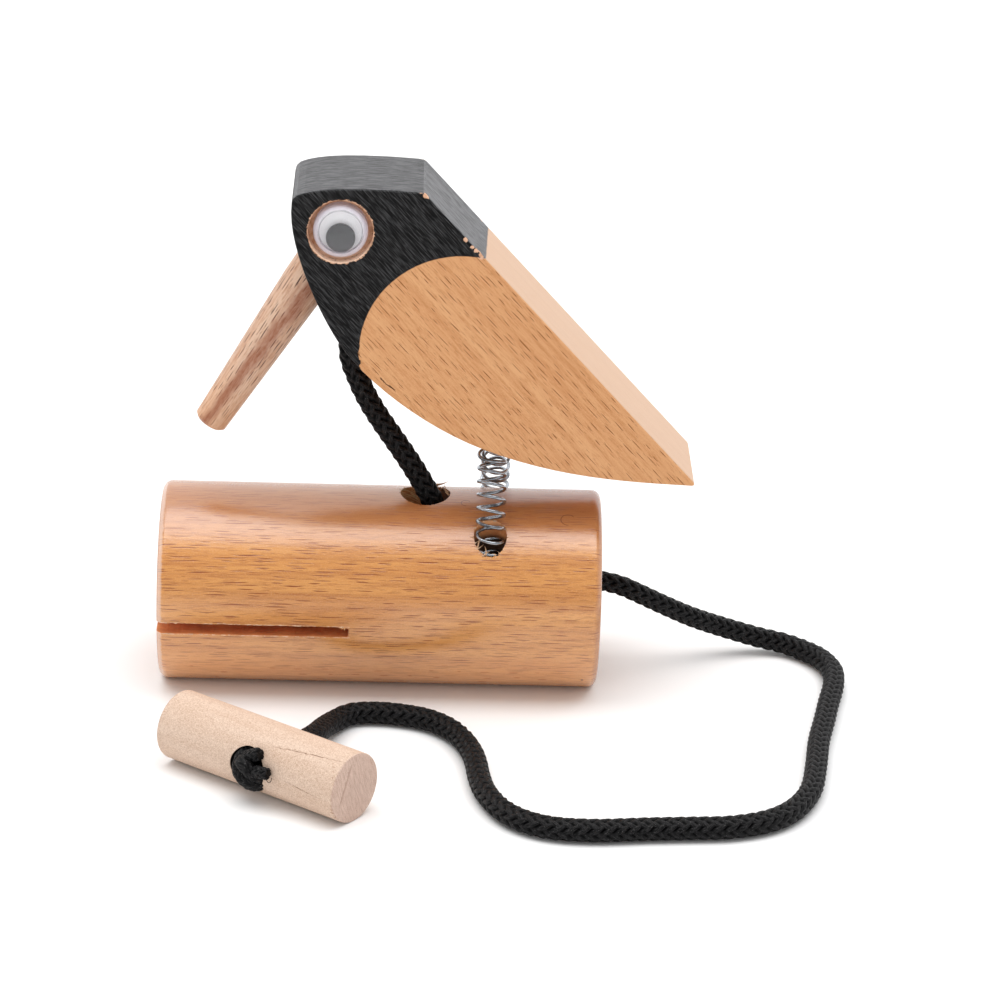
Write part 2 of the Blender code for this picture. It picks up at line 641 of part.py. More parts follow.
def build():
    start_scene()
    beech = finish("lacquered_beech", (0.66, 0.37, 0.17), 0.35)
    bird_beech = finish("bare_beech", (0.72, 0.45, 0.24), 0.55)
    beak_beech = finish("beak_beech", (0.66, 0.38, 0.24), 0.6)
    maple = finish("handle_maple", (0.83, 0.66, 0.50), 0.65)
    steel = finish("spring_steel", (0.62, 0.62, 0.63), 0.25, metallic=1.0)
    cord_black = finish("black_cord", (0.012, 0.012, 0.014), 0.75)
    clear = finish("clear_plastic", (0.92, 0.92, 0.96), 0.08, alpha=0.35)
    white = finish("white_plastic", (0.85, 0.85, 0.88), 0.4)
    grey = finish("pupil_grey", (0.12, 0.12, 0.13), 0.35)

    bird_pivot = pivot("bird_peck_pivot", PECK_AXIS)
    pull_guide = pivot("cord_pull_guide", (LOG_RIGHT_X, 0.0, LOG_AXIS_Z))

    make_log(beech)
    make_bird(bird_beech, bird_pivot)
    make_beak(beak_beech, bird_pivot)
    for side in OUTWARDS:
        make_eye(side, clear, white, grey, bird_pivot)
        make_spring(side, steel)
    carry(make_cord("cord_upper", CORD_UPPER_ROUTE, CORD_UPPER_STEP, cord_black), bird_pivot)
    carry(make_cord("cord_tail", CORD_TAIL_ROUTE, CORD_TAIL_STEP, cord_black), pull_guide)
    make_handle(maple, pull_guide)
    make_knot(cord_black, pull_guide)


build()
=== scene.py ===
"""Woodpecker rhythm shaker, dressed piece by piece in the order in which it is put together."""
import math
import random

import bmesh
import bpy
from mathutils import Matrix, Vector, noise
from mathutils.geometry import interpolate_bezier


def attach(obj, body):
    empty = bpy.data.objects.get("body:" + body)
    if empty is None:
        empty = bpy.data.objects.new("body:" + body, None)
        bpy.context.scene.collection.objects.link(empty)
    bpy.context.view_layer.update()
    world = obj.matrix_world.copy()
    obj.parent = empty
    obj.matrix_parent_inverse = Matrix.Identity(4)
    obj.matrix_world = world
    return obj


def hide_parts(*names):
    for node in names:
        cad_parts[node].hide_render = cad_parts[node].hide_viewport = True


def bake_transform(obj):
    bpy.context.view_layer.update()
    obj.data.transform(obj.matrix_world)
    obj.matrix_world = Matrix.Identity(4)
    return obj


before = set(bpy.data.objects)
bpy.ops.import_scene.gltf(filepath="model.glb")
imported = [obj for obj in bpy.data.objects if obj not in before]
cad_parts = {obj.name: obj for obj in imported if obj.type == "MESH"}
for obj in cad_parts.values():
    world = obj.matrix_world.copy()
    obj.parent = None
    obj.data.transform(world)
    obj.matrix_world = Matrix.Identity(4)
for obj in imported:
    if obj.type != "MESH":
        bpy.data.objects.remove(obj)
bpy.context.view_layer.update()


# Log
# A beech billet turned to a drum and lacquered. Its left half is bored out, and a saw
# cut from the left end opens the bore on both sides. The drills and the saw left
# bare, splintered edges.

MM = 0.001
TOUCHING = 0.001 * MM
LOG_RADIUS = 22.5 * MM
LOG_END_X = 99.3 * MM / 2
LOG_AXIS_Z = 21.0 * MM
LOG_TOP_Z = LOG_AXIS_Z + LOG_RADIUS
LOG_RIM = 2.0 * MM
LOG_GRAIN = (1, 0, 0)
CHAMBER_RADIUS = 12 * MM
CHAMBER_DEPTH = 46 * MM
CORD_HOLE_X = 9.8 * MM
CORD_HOLE_RADIUS = 5.65 * MM
SLIT_Z = 18.4 * MM
SLIT_HEIGHT = 2.6 * MM
SLIT_EDGES = (SLIT_Z - SLIT_HEIGHT / 2, SLIT_Z + SLIT_HEIGHT / 2)
SLIT_END_X = -6.65 * MM
SLIT_TEETH = (0.35, 0.5, 0.15, 0.85, 0.2, 0.55, 0.1, 0.3, 0.0, 0.1)
SLIT_TOOTH_LENGTH = 0.28
OUTWARDS = {"front": -1.0, "rear": 1.0}
SPRING_X = {"front": 24.5 * MM, "rear": 25.7 * MM}
SPRING_MOUTH_ANGLE = math.radians(37.2)
SPRING_BORE_RADIUS = 3.7 * MM
SPRING_BORE_DEPTH = 9.5 * MM


class Wire:
    """A shader socket that Python's arithmetic works on: each sign adds its Math node."""

    def __init__(self, paint, socket):
        self.paint, self.socket = paint, socket

    def math(self, operation, *values):
        return self.paint.node("Math", values, operation=operation)

    def other(self, output):
        """Another output of the same node."""
        return Wire(self.paint, self.socket.node.outputs[output])

    def __add__(self, other):
        return self.math("ADD", self, other)

    def __radd__(self, other):
        return self.math("ADD", other, self)

    def __sub__(self, other):
        return self.math("SUBTRACT", self, other)

    def __rsub__(self, other):
        return self.math("SUBTRACT", other, self)

    def __mul__(self, other):
        return self.math("MULTIPLY", self, other)

    def __rmul__(self, other):
        return self.math("MULTIPLY", other, self)

    def __truediv__(self, other):
        return self.math("DIVIDE", self, other)

    def __pow__(self, other):
        return self.math("POWER", self, other)

    def __abs__(self):
        return self.math("ABSOLUTE", self)

    def step(self, low, high):
        """0 below low and 1 above high, or the other way round where low is the larger."""
        return self.paint.node("MapRange", [self, low, high], interpolation_type="SMOOTHSTEP")


class Paint:
    """A material in the making, or the light of the room."""

    def __init__(self, name, room=False):
        self.owner = (bpy.data.worlds if room else bpy.data.materials).new(name)
        self.owner.use_nodes = True
        self.tree = self.owner.node_tree
        self.shader = self.tree.nodes["Background" if room else "Principled BSDF"]

    def node(self, kind, sockets=(), output=0, **settings):
        """Add a node: its settings first, then the values or links of its sockets."""
        made = self.tree.nodes.new("ShaderNode" + kind)
        for name, value in settings.items():
            setattr(made, name, value)
        for name, value in sockets.items() if isinstance(sockets, dict) else enumerate(sockets):
            self.put(made.inputs[name], value)
        return Wire(self, made.outputs[output])

    def put(self, socket, value):
        """Link a socket to a wire, or set it to a plain value."""
        if isinstance(value, Wire):
            self.tree.links.new(value.socket, socket)
        else:
            socket.default_value = value

    def place(self, turn=(0.0, 0.0, 0.0), origin=(0.0, 0.0, 0.0)):
        """X, Y and Z in millimetres from an origin, on axes turned by Euler angles."""
        coordinates = self.node("TexCoord", output="Object")
        mapped = self.node("Mapping", {0: coordinates, 1: origin, 2: turn,
                                       3: (MM, MM, MM)}, vector_type="TEXTURE")
        return self.parts(mapped)

    def parts(self, vector):
        split = self.node("SeparateXYZ", [vector])
        return [split.other(i) for i in range(3)]

    def facing(self):
        """X, Y and Z of the direction in which the surface faces."""
        return self.parts(self.node("TexCoord", output="Normal"))

    def vector(self, *values):
        return self.node("CombineXYZ", values)

    def distance(self, spot, point=(0.0, 0.0, 0.0)):
        """How far a spot is from a fixed point."""
        return self.node("VectorMath", [self.vector(*spot), point], output="Value",
                         operation="DISTANCE")

    def noise(self, values, detail=3.0, roughness=0.55):
        """Noise from 0 to 1 at a place that is given in units of its grain."""
        return self.node("TexNoise", {"Vector": self.vector(*values), "Scale": 1.0,
                                      "Detail": detail, "Roughness": roughness})

    def mix(self, share, a, b):
        """Colour a turning into colour b as the share goes from 0 to 1."""
        return self.node("Mix", {0: share, 6: colour(a), 7: colour(b)}, output=2,
                         data_type="RGBA")

    def finish(self, base, roughness, relief=None, depth=0.05 * MM, plain=()):
        """Set the shader: a colour, a roughness, a relief, and plain values by name."""
        self.put(self.shader.inputs["Base Color"], colour(base))
        self.put(self.shader.inputs["Roughness"], roughness)
        if relief is not None:
            bump = self.node("Bump", {"Height": relief, "Distance": depth, "Strength": 1.0})
            self.put(self.shader.inputs["Normal"], bump)
        for name, value in plain:
            self.shader.inputs[name].default_value = value
        return self.owner


def colour(value):
    """A colour as the screen shows it, 0 to 255, in the renderer's own scale."""
    if isinstance(value, Wire):
        return value
    shares = [v / 255 for v in value]
    return (*[s / 12.92 if s <= 0.04045 else ((s + 0.055) / 1.055) ** 2.4 for s in shares], 1.0)


def flecks(paint, along, across, cell, size, share, seed=0.0):
    """Beech's dark rays: in some cells of a grid of rows, one thin line along the grain."""
    row = across / cell[1] + seed
    line = row.math("FLOOR", row)
    shift = paint.node("TexWhiteNoise", {"W": line}, noise_dimensions="1D")
    column = along / cell[0] + 9.0 * shift
    spot = paint.vector(line, column.math("FLOOR", column), seed)
    luck = paint.node("TexWhiteNoise", {"Vector": spot}, output="Color", noise_dimensions="3D")
    present = luck.other("Value")
    middle, span, height = paint.parts(luck)
    half = size[0] * (0.35 + 0.65 * span) / 2
    place = column.math("FRACT", column) - (0.32 + 0.36 * middle)
    rise = row.math("FRACT", row) - (0.3 + 0.4 * height) - 0.25 * place * (span - 0.5)
    long = place * cell[0] / half
    thin = rise * cell[1] / (size[1] * (0.3 + 0.25 * middle))
    return (long * long + thin * thin).step(1.2, 0.4) * present.step(share, share - 0.02)


def cut_out(piece, cutter):
    """Take the cutter out of the piece for good. The cut faces keep the cutter's material."""
    boolean = piece.modifiers.new("cut", "BOOLEAN")
    boolean.operation = "DIFFERENCE"
    boolean.solver = "MANIFOLD"
    boolean.material_mode = "TRANSFER"
    boolean.object = cutter
    depsgraph = bpy.context.evaluated_depsgraph_get()
    mesh = bpy.data.meshes.new_from_object(piece.evaluated_get(depsgraph))
    piece.modifiers.remove(boolean)
    piece.data = mesh
    bpy.data.objects.remove(cutter, do_unlink=True)


def show(name, data):
    """Put a mesh, a curve, a lamp or a camera into the scene as an object."""
    made = bpy.data.objects.new(name, data)
    bpy.context.scene.collection.objects.link(made)
    return made


def thing(name, bm, *materials):
    """Close a bmesh into an object of that name."""
    mesh = bpy.data.meshes.new(name)
    bm.to_mesh(mesh)
    bm.free()
    for material in materials:
        mesh.materials.append(material)
    made = show(name, mesh)
    bpy.context.view_layer.update()
    return made


def aimed(direction, middle):
    """The placement that turns +Z to a direction and moves the origin to a point."""
    turn = Vector((0.0, 0.0, 1.0)).rotation_difference(Vector(direction))
    return Matrix.Translation(Vector(middle)) @ turn.to_matrix().to_4x4()


def bit(name, mouth, inwards, radius, depth, material):
    """A drill's cutter: depth is from the mouth, and one radius of it stands outside."""
    bm = bmesh.new()
    inwards = Vector(inwards).normalized()
    middle = Vector(mouth) + inwards * (depth - radius) / 2
    bmesh.ops.create_cone(bm, cap_ends=True, segments=64, radius1=radius, radius2=radius,
                          depth=depth + radius, matrix=aimed(inwards, middle))
    return thing(name, bm, material)


def chip_away(piece, name, spots, material, seed):
    """Tear an edge: an uneven lump goes at each spot, given with its size and grain. Three
    cutters take turns, so that no two neighbours lie in the same one."""
    luck = random.Random(seed)
    for turn in range(3):
        bm = bmesh.new()
        for spot, size, grain in spots[turn::3]:
            squash = Matrix.Diagonal((size * luck.uniform(0.35, 0.6),
                                      size * luck.uniform(0.35, 0.6),
                                      size * luck.uniform(0.8, 1.6), 1.0))
            made = bmesh.ops.create_icosphere(bm, subdivisions=1, radius=1.0,
                                              matrix=aimed(grain, spot) @ squash)
            for vertex in made["verts"]:
                vertex.co += Vector([luck.uniform(-0.12, 0.12) * size for _ in range(3)])
        cut_out(piece, thing(name, bm, material))


def turned_shading(mesh, origin, axis):
    """Smooth shading whose normals on the turned side point straight out from the axis."""
    axis, origin = Vector(axis).normalized(), Vector(origin)
    mesh.shade_smooth()
    mesh.set_sharp_from_angle(angle=math.radians(30))
    normals = [Vector(corner.vector) for corner in mesh.corner_normals]
    for face in mesh.polygons:
        out = face.center - origin
        out = (out - axis * out.dot(axis)).normalized()
        if out.dot(face.normal) > 0.97 and abs(face.normal.dot(axis)) < 0.06:
            for corner in face.loop_indices:
                arm = mesh.vertices[mesh.loops[corner].vertex_index].co - origin
                normals[corner] = (arm - axis * arm.dot(axis)).normalized()
    mesh.normals_split_custom_set(normals)


def beech(name, turn, origin, light, warm, dark, fleck, roughness, cell, size, share,
          curved=0.0, grain=0.4):
    """Beech whose grain runs along the turned X axis: the paint, and its colour, roughness
    and relief to work on. A turned piece gives the radius that it is curved to."""
    paint = Paint(name)
    x, y, z = paint.place(turn, origin)
    flat = abs(paint.facing()[1]).step(0.4, 0.6)
    if curved:
        across = y.math("ARCTAN2", y, z) * curved
        rise = paint.distance((0.0, y, z))
    else:
        across, rise = z * flat + y * (1 - flat), y * flat + z * (1 - flat)
    streak = paint.noise([x / 60, across / 5, rise / 14], 5.0, 0.6)
    band = paint.noise([x / 45 + 7, across / 1.1, rise / 4], 2.0)
    fibre = paint.noise([x / 4, across / 0.36, rise / 0.6], 2.0, 0.7)
    pore = paint.noise([x / 0.35, across / 0.25, rise / 0.3], 2.0, 0.7)
    seen = 1.0 if curved else 0.25 + 0.75 * flat
    lines = seen * flecks(paint, x, across + 1.5 * streak, cell, size, share)
    small = seen * flecks(paint, x, across, (cell[0] * 0.45, cell[1] * 0.8),
                          (size[0] * 0.4, size[1] * 0.8), 0.4, 3.3)
    base = paint.mix(streak.step(0.3, 0.72), light, warm)
    base = paint.mix(band.step(0.4, 0.75) * 0.4, base, dark)
    base = paint.mix(fibre.step(0.49, 0.63) * grain, base, dark)
    base = paint.mix(pore.step(0.5, 0.64) * 0.3 * grain, base, (255, 214, 164))
    base = paint.mix(small * 0.5, base, fleck)
    base = paint.mix(lines, base, fleck)
    relief = 0.4 * fibre + 0.35 * pore + 0.3 * band - 0.25 * lines
    uneven = roughness + 0.16 * (fibre - 0.5) + 0.1 * (streak - 0.5)
    return paint, base, uneven, relief


paint, base, uneven, relief = beech(
    "lacquered_beech", turn=(0.0, 0.0, 0.0), origin=(0.0, 0.0, LOG_AXIS_Z),
    light=(220, 154, 84), warm=(207, 138, 70), dark=(162, 90, 38), fleck=(132, 58, 0),
    roughness=0.2, cell=(9.0, 0.7), size=(7.2, 0.26), share=0.56, curved=LOG_RADIUS / MM)
x, y, z = paint.place(origin=(0.0, 0.0, LOG_AXIS_Z))
# Painted shade: the log's upper side is painted a darker brown.
base = paint.mix(z.step(14.5, 21.0) * 0.65, base, (160, 103, 70))
# Painted light: the log's underside is painted paler, as if lit from the table.
base = paint.mix(z.step(-4.0, -20.0) * 0.5, base, (228, 172, 128))
rays = flecks(paint, x, z, (6.0, 2.2), (2.6, 0.7), 0.5, 7.7) * z.step(-8.0, -15.0)
base = paint.mix(rays * 0.5, base, (176, 88, 52))
for (hx, hy, hz), size in (((41.9, -9.3, 20.5), 1.6), ((19.0, -4.5, 22.1), 1.1)):
    hair = abs(paint.distance((x, y, z), (hx, hy, hz)) - size).step(0.13, 0.05)
    open_end = (x - hx - 0.5 * (y - hy)).step(0.6 * size, 0.4 * size)
    base = paint.mix(hair * open_end * 0.8, base, (92, 48, 26))
speck = paint.distance((x, y, z), (46.2, -16.1, -15.8)).step(0.4, 0.25)
base = paint.mix(speck, base, (72, 36, 22))
# Noise that frays the slit's bare edges and the painted highlight and shade on the end rims.
edge_wear_and_painted_light = paint.noise([x / 0.9, y / 9, z / 0.9], 3.0, 0.7) - 0.5
for edge_z in SLIT_EDGES:
    edge = abs(z - (edge_z - LOG_AXIS_Z) / MM) + 0.6 * edge_wear_and_painted_light
    frayed = paint.noise([x / 1.4, edge_z / MM, 0.0], 3.0, 0.7).step(0.42, 0.6)
    base = paint.mix(edge.step(0.25, 0.08) * x.step(-6.2, -6.8) * frayed, base, (236, 200, 164))
# The left end's rim is painted pale: a worn edge with a painted highlight on it.
base = paint.mix((0.8 * edge_wear_and_painted_light - x).step(48.3, 48.8) * 0.6, base, (222, 190, 172))
# Painted shade: the right end's rim is painted darker.
base = paint.mix((x + 0.8 * edge_wear_and_painted_light).step(48.0, 49.0) * 0.5, base, (158, 100, 66))
end_grain = abs(paint.facing()[0]).step(0.75, 0.97)
from_pith = paint.distance((0.0, y, z), (0.0, 9.0, -31.0))
rings = paint.noise([from_pith / 0.7, 0.06 * y, 0.06 * z], 3.0, 0.65)
sawn = paint.mix(rings.step(0.35, 0.7), (198, 138, 92), (164, 102, 62))
lacquered_beech = paint.finish(paint.mix(end_grain, base, sawn), uneven, relief, 0.07 * MM,
                               [("Specular IOR Level", 0.95), ("IOR", 1.55)])

paint = Paint("bored_beech")
x, y, z = paint.place()
scorch = paint.noise([x / 6, y / 2.5, z / 2.5], 3.0)
torn = paint.noise([x / 2.5, y / 0.3, z / 0.3], 3.0, 0.65)
base = paint.mix(scorch.step(0.3, 0.7), (240, 160, 98), (206, 122, 68))
base = paint.mix(torn.step(0.5, 0.75) * 0.6, base, (232, 180, 132))
in_spring_bore = abs(x - 25.0).step(6.0, 5.5)
# Painted light and shade in the spring bores: the upper wall is painted paler, as lit, and the
# lower part near black, as shade.
base = paint.mix(in_spring_bore * z.step(39.5, 41.5) * 0.6, base, (246, 196, 152))
base = paint.mix(in_spring_bore * z.step(39.0, 36.5) * 0.9, base, (34, 20, 14))
tooled = paint.noise([(x + 1.4 * z) / 0.35, (x - z) / 4, y / 3], 2.0)
# The cord hole's left wall is painted pale: tool marks with painted light on them. Its right wall
# is painted near black, as shade.
in_cord_hole = abs(x - CORD_HOLE_X / MM).step(6.0, 5.8) * z.step(35.0, 41.0)
base = paint.mix(in_cord_hole * x.step(11.0, 8.0), base,
                 paint.mix(tooled.step(0.45, 0.62), (214, 152, 94), (255, 226, 180)))
# Painted shade on the cord hole's right wall.
base = paint.mix(in_cord_hole * x.step(12.0, 14.0) * 0.85, base, (52, 32, 20))
bored_beech = paint.finish(base, 0.75, torn, 0.2 * MM)

paint = Paint("torn_beech")
x, y, z = paint.place()
torn = paint.noise([x / 1.5, y / 0.2, z / 0.2], 3.0, 0.65)
base = paint.mix(torn.step(0.35, 0.7), (232, 196, 162), (196, 148, 108))
torn_beech = paint.finish(base, 0.8, torn, 0.1 * MM)

bm = bmesh.new()
profile = [(-LOG_END_X, 0.0)]
for k in range(7):
    turn = math.pi / 2 * k / 6
    profile.append((-LOG_END_X + LOG_RIM - LOG_RIM * math.cos(turn),
                    LOG_RADIUS - LOG_RIM + LOG_RIM * math.sin(turn)))
profile += [(-px, pz) for px, pz in reversed(profile)]
outline = [bm.verts.new((px, 0.0, pz)) for px, pz in profile]
edges = [bm.edges.new(pair) for pair in zip(outline, outline[1:])]
bmesh.ops.spin(bm, geom=outline + edges, axis=(1, 0, 0), cent=(0, 0, 0), angle=math.tau,
               steps=144, use_merge=True)
bmesh.ops.remove_doubles(bm, verts=bm.verts, dist=TOUCHING)
bmesh.ops.recalc_face_normals(bm, faces=bm.faces)
bmesh.ops.translate(bm, verts=bm.verts, vec=(0, 0, LOG_AXIS_Z))
planed = bmesh.ops.bisect_plane(bm, geom=bm.verts[:] + bm.edges[:] + bm.faces[:],
                                plane_co=(0, 0, 0), plane_no=(0, 0, -1), clear_outer=True)
bmesh.ops.holes_fill(bm, edges=[cut for cut in planed["geom_cut"]
                                if isinstance(cut, bmesh.types.BMEdge)])
log = thing("drum_log", bm, lacquered_beech, bored_beech, torn_beech)

cut_out(log, bit("chamber_bit", (-LOG_END_X, 0, LOG_AXIS_Z), (1, 0, 0), CHAMBER_RADIUS,
                 CHAMBER_DEPTH, bored_beech))

luck = random.Random(4)
bm = bmesh.new()
blade_left = -LOG_END_X - 3 * MM
size = (SLIT_END_X - blade_left, 2.4 * LOG_RADIUS, SLIT_HEIGHT)
bmesh.ops.create_cube(bm, size=1.0, matrix=Matrix.Translation(
    ((SLIT_END_X + blade_left) / 2, 0, SLIT_Z)) @ Matrix.Diagonal((*size, 1.0)))
lengthwise = [edge for edge in bm.edges
              if abs(edge.verts[0].co.x - edge.verts[1].co.x) > 1 * MM]
bmesh.ops.subdivide_edges(bm, edges=lengthwise, cuts=150, use_grid_fill=True)
for vertex in bm.verts:
    bx, top = vertex.co.x / MM, vertex.co.z > SLIT_Z
    short = SLIT_END_X / MM - bx
    bite = 0.16 * noise.noise((bx / 0.5, top, 0)) + 0.14 * noise.noise((bx / 4, 3, top))
    vertex.co.z += bite * MM * (1.0 if top else 0.5)
    if top and short < 2.7:
        vertex.co.z -= SLIT_TEETH[int(short / SLIT_TOOTH_LENGTH)] * MM
    elif not top and short < 0.3:
        vertex.co.z += 0.5 * MM
cut_out(log, thing("slit_blade", bm, bored_beech))

cut_out(log, bit("cord_hole_bit", (CORD_HOLE_X, 0, LOG_TOP_Z), (0, 0, -1), CORD_HOLE_RADIUS,
                 LOG_RADIUS + CORD_HOLE_RADIUS, bored_beech))
cut_out(log, bit("tunnel_bit", (LOG_END_X, 0, LOG_AXIS_Z), (-1, 0, 0), CORD_HOLE_RADIUS,
                 LOG_END_X - CORD_HOLE_X + CORD_HOLE_RADIUS / 2, bored_beech))


def spring_mouth(side):
    """Where a spring leaves the log. Its bore goes straight down from there."""
    return Vector((SPRING_X[side], OUTWARDS[side] * LOG_RADIUS * math.sin(SPRING_MOUTH_ANGLE),
                   LOG_AXIS_Z + LOG_RADIUS * math.cos(SPRING_MOUTH_ANGLE)))


def on_log(x, y):
    """The point of the log's upper half over a point of the plan."""
    return Vector((x, y, LOG_AXIS_Z + math.sqrt(max(LOG_RADIUS ** 2 - y * y, 0.0))))


def spring_bore_rim(mouth, turn):
    """A point on the edge of a spring's bore, on the log's surface."""
    rim_point = mouth + SPRING_BORE_RADIUS * Vector((math.cos(turn), math.sin(turn), 0.0))
    return on_log(rim_point.x, rim_point.y)


def cord_hole_rim(turn):
    """A point on the edge of the cord's hole, on the log's surface."""
    return on_log(CORD_HOLE_X + CORD_HOLE_RADIUS * math.cos(turn),
                  CORD_HOLE_RADIUS * math.sin(turn))


spots = []
for side in OUTWARDS:
    mouth = spring_mouth(side)
    cut_out(log, bit("spring_bit", mouth, (0, 0, -1), SPRING_BORE_RADIUS, SPRING_BORE_DEPTH,
                     bored_beech))
    for k in range(16):
        turn = math.tau * k / 16 + luck.uniform(-0.15, 0.15)
        spots.append((spring_bore_rim(mouth, turn), luck.uniform(0.3, 0.7) * MM, LOG_GRAIN))
for k in range(22):
    turn = math.tau * k / 22 + luck.uniform(-0.1, 0.1)
    spots.append((cord_hole_rim(turn), luck.uniform(0.2, 0.6) * MM, LOG_GRAIN))
for out in OUTWARDS.values():
    for k in range(34):
        bx = -LOG_END_X + 1.6 * MM + (k + luck.uniform(-0.4, 0.4)) * 1.23 * MM
        bz = SLIT_EDGES[1] if luck.random() > 0.33 else SLIT_EDGES[0]
        by = out * math.sqrt(LOG_RADIUS ** 2 - (bz - LOG_AXIS_Z) ** 2)
        coarse = 1.7 if k < 13 else 1.0
        spots.append((Vector((bx, by, bz)), luck.uniform(0.2, 0.42) * coarse * MM, LOG_GRAIN))
chip_away(log, "edge_chips", spots, torn_beech, 11)
turned_shading(log.data, (0, 0, LOG_AXIS_Z), LOG_GRAIN)
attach(log, "base")
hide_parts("log")


# Splinters
# Torn fibres of bare beech, left standing by the drill round the cord hole and in the
# mouths of the spring bores.

def shard(bm, root, lean, length, width, luck):
    """One splinter: a thin, flattened cone that bends as it rises."""
    before = len(bm.verts)
    bmesh.ops.create_cone(bm, cap_ends=True, segments=5, radius1=width, radius2=width / 9,
                          depth=length, matrix=Matrix.Translation((0, 0, length / 2)))
    bm.verts.ensure_lookup_table()
    edges = {edge for vertex in bm.verts[before:] for edge in vertex.link_edges
             if abs(edge.verts[0].co.z - edge.verts[1].co.z) > length / 2}
    bmesh.ops.subdivide_edges(bm, edges=list(edges), cuts=4)
    bm.verts.ensure_lookup_table()
    bend, turn = luck.uniform(-0.5, 0.5), luck.uniform(0, math.tau)
    placing = aimed(lean, root) @ Matrix.Rotation(turn, 4, "Z")
    for vertex in bm.verts[before:]:
        share = vertex.co.z / length
        vertex.co.x += bend * length * share * share
        vertex.co.y *= 0.4
        vertex.co = placing @ vertex.co


luck = random.Random(8)
bm = bmesh.new()
for root, lean, length, width in (
        ((12.3, 4.6, 43.7), (1.0, -0.1, 0.1), 2.8, 0.32),
        ((12.6, 4.5, 42.9), (-0.2, 0.0, 1.0), 1.2, 0.3),
        ((13.3, 4.0, 42.9), (0.6, -0.3, 0.8), 1.7, 0.34),
        ((14.5, 3.4, 42.8), (-0.4, -0.2, 0.9), 1.6, 0.4),
        ((15.0, 2.0, 42.8), (-0.6, 0.1, 0.6), 1.5, 0.4),
        ((15.2, 0.4, 42.9), (-0.7, 0.3, 0.4), 1.3, 0.3)):
    shard(bm, Vector(root) * MM, lean, length * MM, width * MM, luck)
for k in range(9):
    turn = luck.uniform(0.2, 2.9)
    shard(bm, cord_hole_rim(turn),
          (-math.cos(turn) * 0.6, -math.sin(turn) * 0.6, luck.uniform(0.1, 0.7)),
          luck.uniform(0.6, 1.1) * MM, 0.12 * MM, luck)
for side, out in OUTWARDS.items():
    mouth = spring_mouth(side)
    for turn, length in ((200, 1.5), (218, 2.3), (232, 1.5), (246, 2.2), (258, 1.4), (272, 1.9),
                         (288, 1.1), (306, 1.3)):
        root = spring_bore_rim(mouth, -out * math.radians(turn))
        inwards = Vector((mouth.x - root.x, mouth.y - root.y, 0.0)).normalized()
        shard(bm, root - 0.4 * MM * inwards - Vector((0, 0, 0.3 * MM)),
              inwards + Vector((luck.uniform(-0.4, 0.4), 0.0, luck.uniform(-0.1, 0.6))),
              length * MM, 0.24 * MM, luck)
    for shift, lean, length in ((-2.9, (0.35, 0.1, 1.0), 2.4), (-0.9, (0.15, 0.2, 1.0), 2.2),
                                (-1.9, (1.0, 0.3, 0.1), 1.9), (1.3, (-0.8, 0.3, 0.3), 1.5)):
        root = on_log(mouth.x + shift * MM,
                      mouth.y + out * 0.9 * math.sqrt(SPRING_BORE_RADIUS ** 2 - (shift * MM) ** 2))
        shard(bm, root - Vector((0, 0, 0.5 * MM)), (lean[0], -out * lean[1], lean[2]),
              length * MM, 0.3 * MM, luck)
bmesh.ops.recalc_face_normals(bm, faces=bm.faces)
splinters = thing("log_splinters", bm, torn_beech)
splinters.data.shade_smooth()
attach(splinters, "base")


# Springs
# Two coils of bright drawn wire, one on each side, glued into the log's bores at the
# bottom and the bird's at the top. From the log's sides they bow inwards to the belly.

SPRING_OUTER_DIAMETER = 6.8 * MM
SPRING_WIRE = 0.8 * MM
SPRING_PITCH = 3.0 * MM
SPRING_END_TURN = 2.4 * MM
MM_IN_LOG = 9.2
MM_IN_BIRD = 7.7
POINTS_PER_TURN = 26
SPRING_SEATS = {"front": Vector((24.5 * MM, -7.4 * MM, 58.260 * MM)),
                "rear": Vector((25.7 * MM, 7.4 * MM, 57.837 * MM))}


def tube(name, points, radius, roundness, material):
    """A round bar along points, with a flat cap on each end."""
    curve = bpy.data.curves.new(name, "CURVE")
    curve.dimensions = "3D"
    curve.bevel_depth = radius
    curve.bevel_resolution = roundness
    curve.use_fill_caps = True
    spline = curve.splines.new("POLY")
    spline.points.add(len(points) - 1)
    for knot, point in zip(spline.points, points):
        knot.co = (*point, 1.0)
    bar = show(name + "_line", curve)
    depsgraph = bpy.context.evaluated_depsgraph_get()
    mesh = bpy.data.meshes.new_from_object(bar.evaluated_get(depsgraph))
    bpy.data.objects.remove(bar, do_unlink=True)
    mesh.name = name
    mesh.materials.clear()
    mesh.materials.append(material)
    mesh.shade_smooth()
    return show(name, mesh)


def clamp(value, low=0.0, high=1.0):
    """The value, kept between low and high."""
    return min(max(value, low), high)


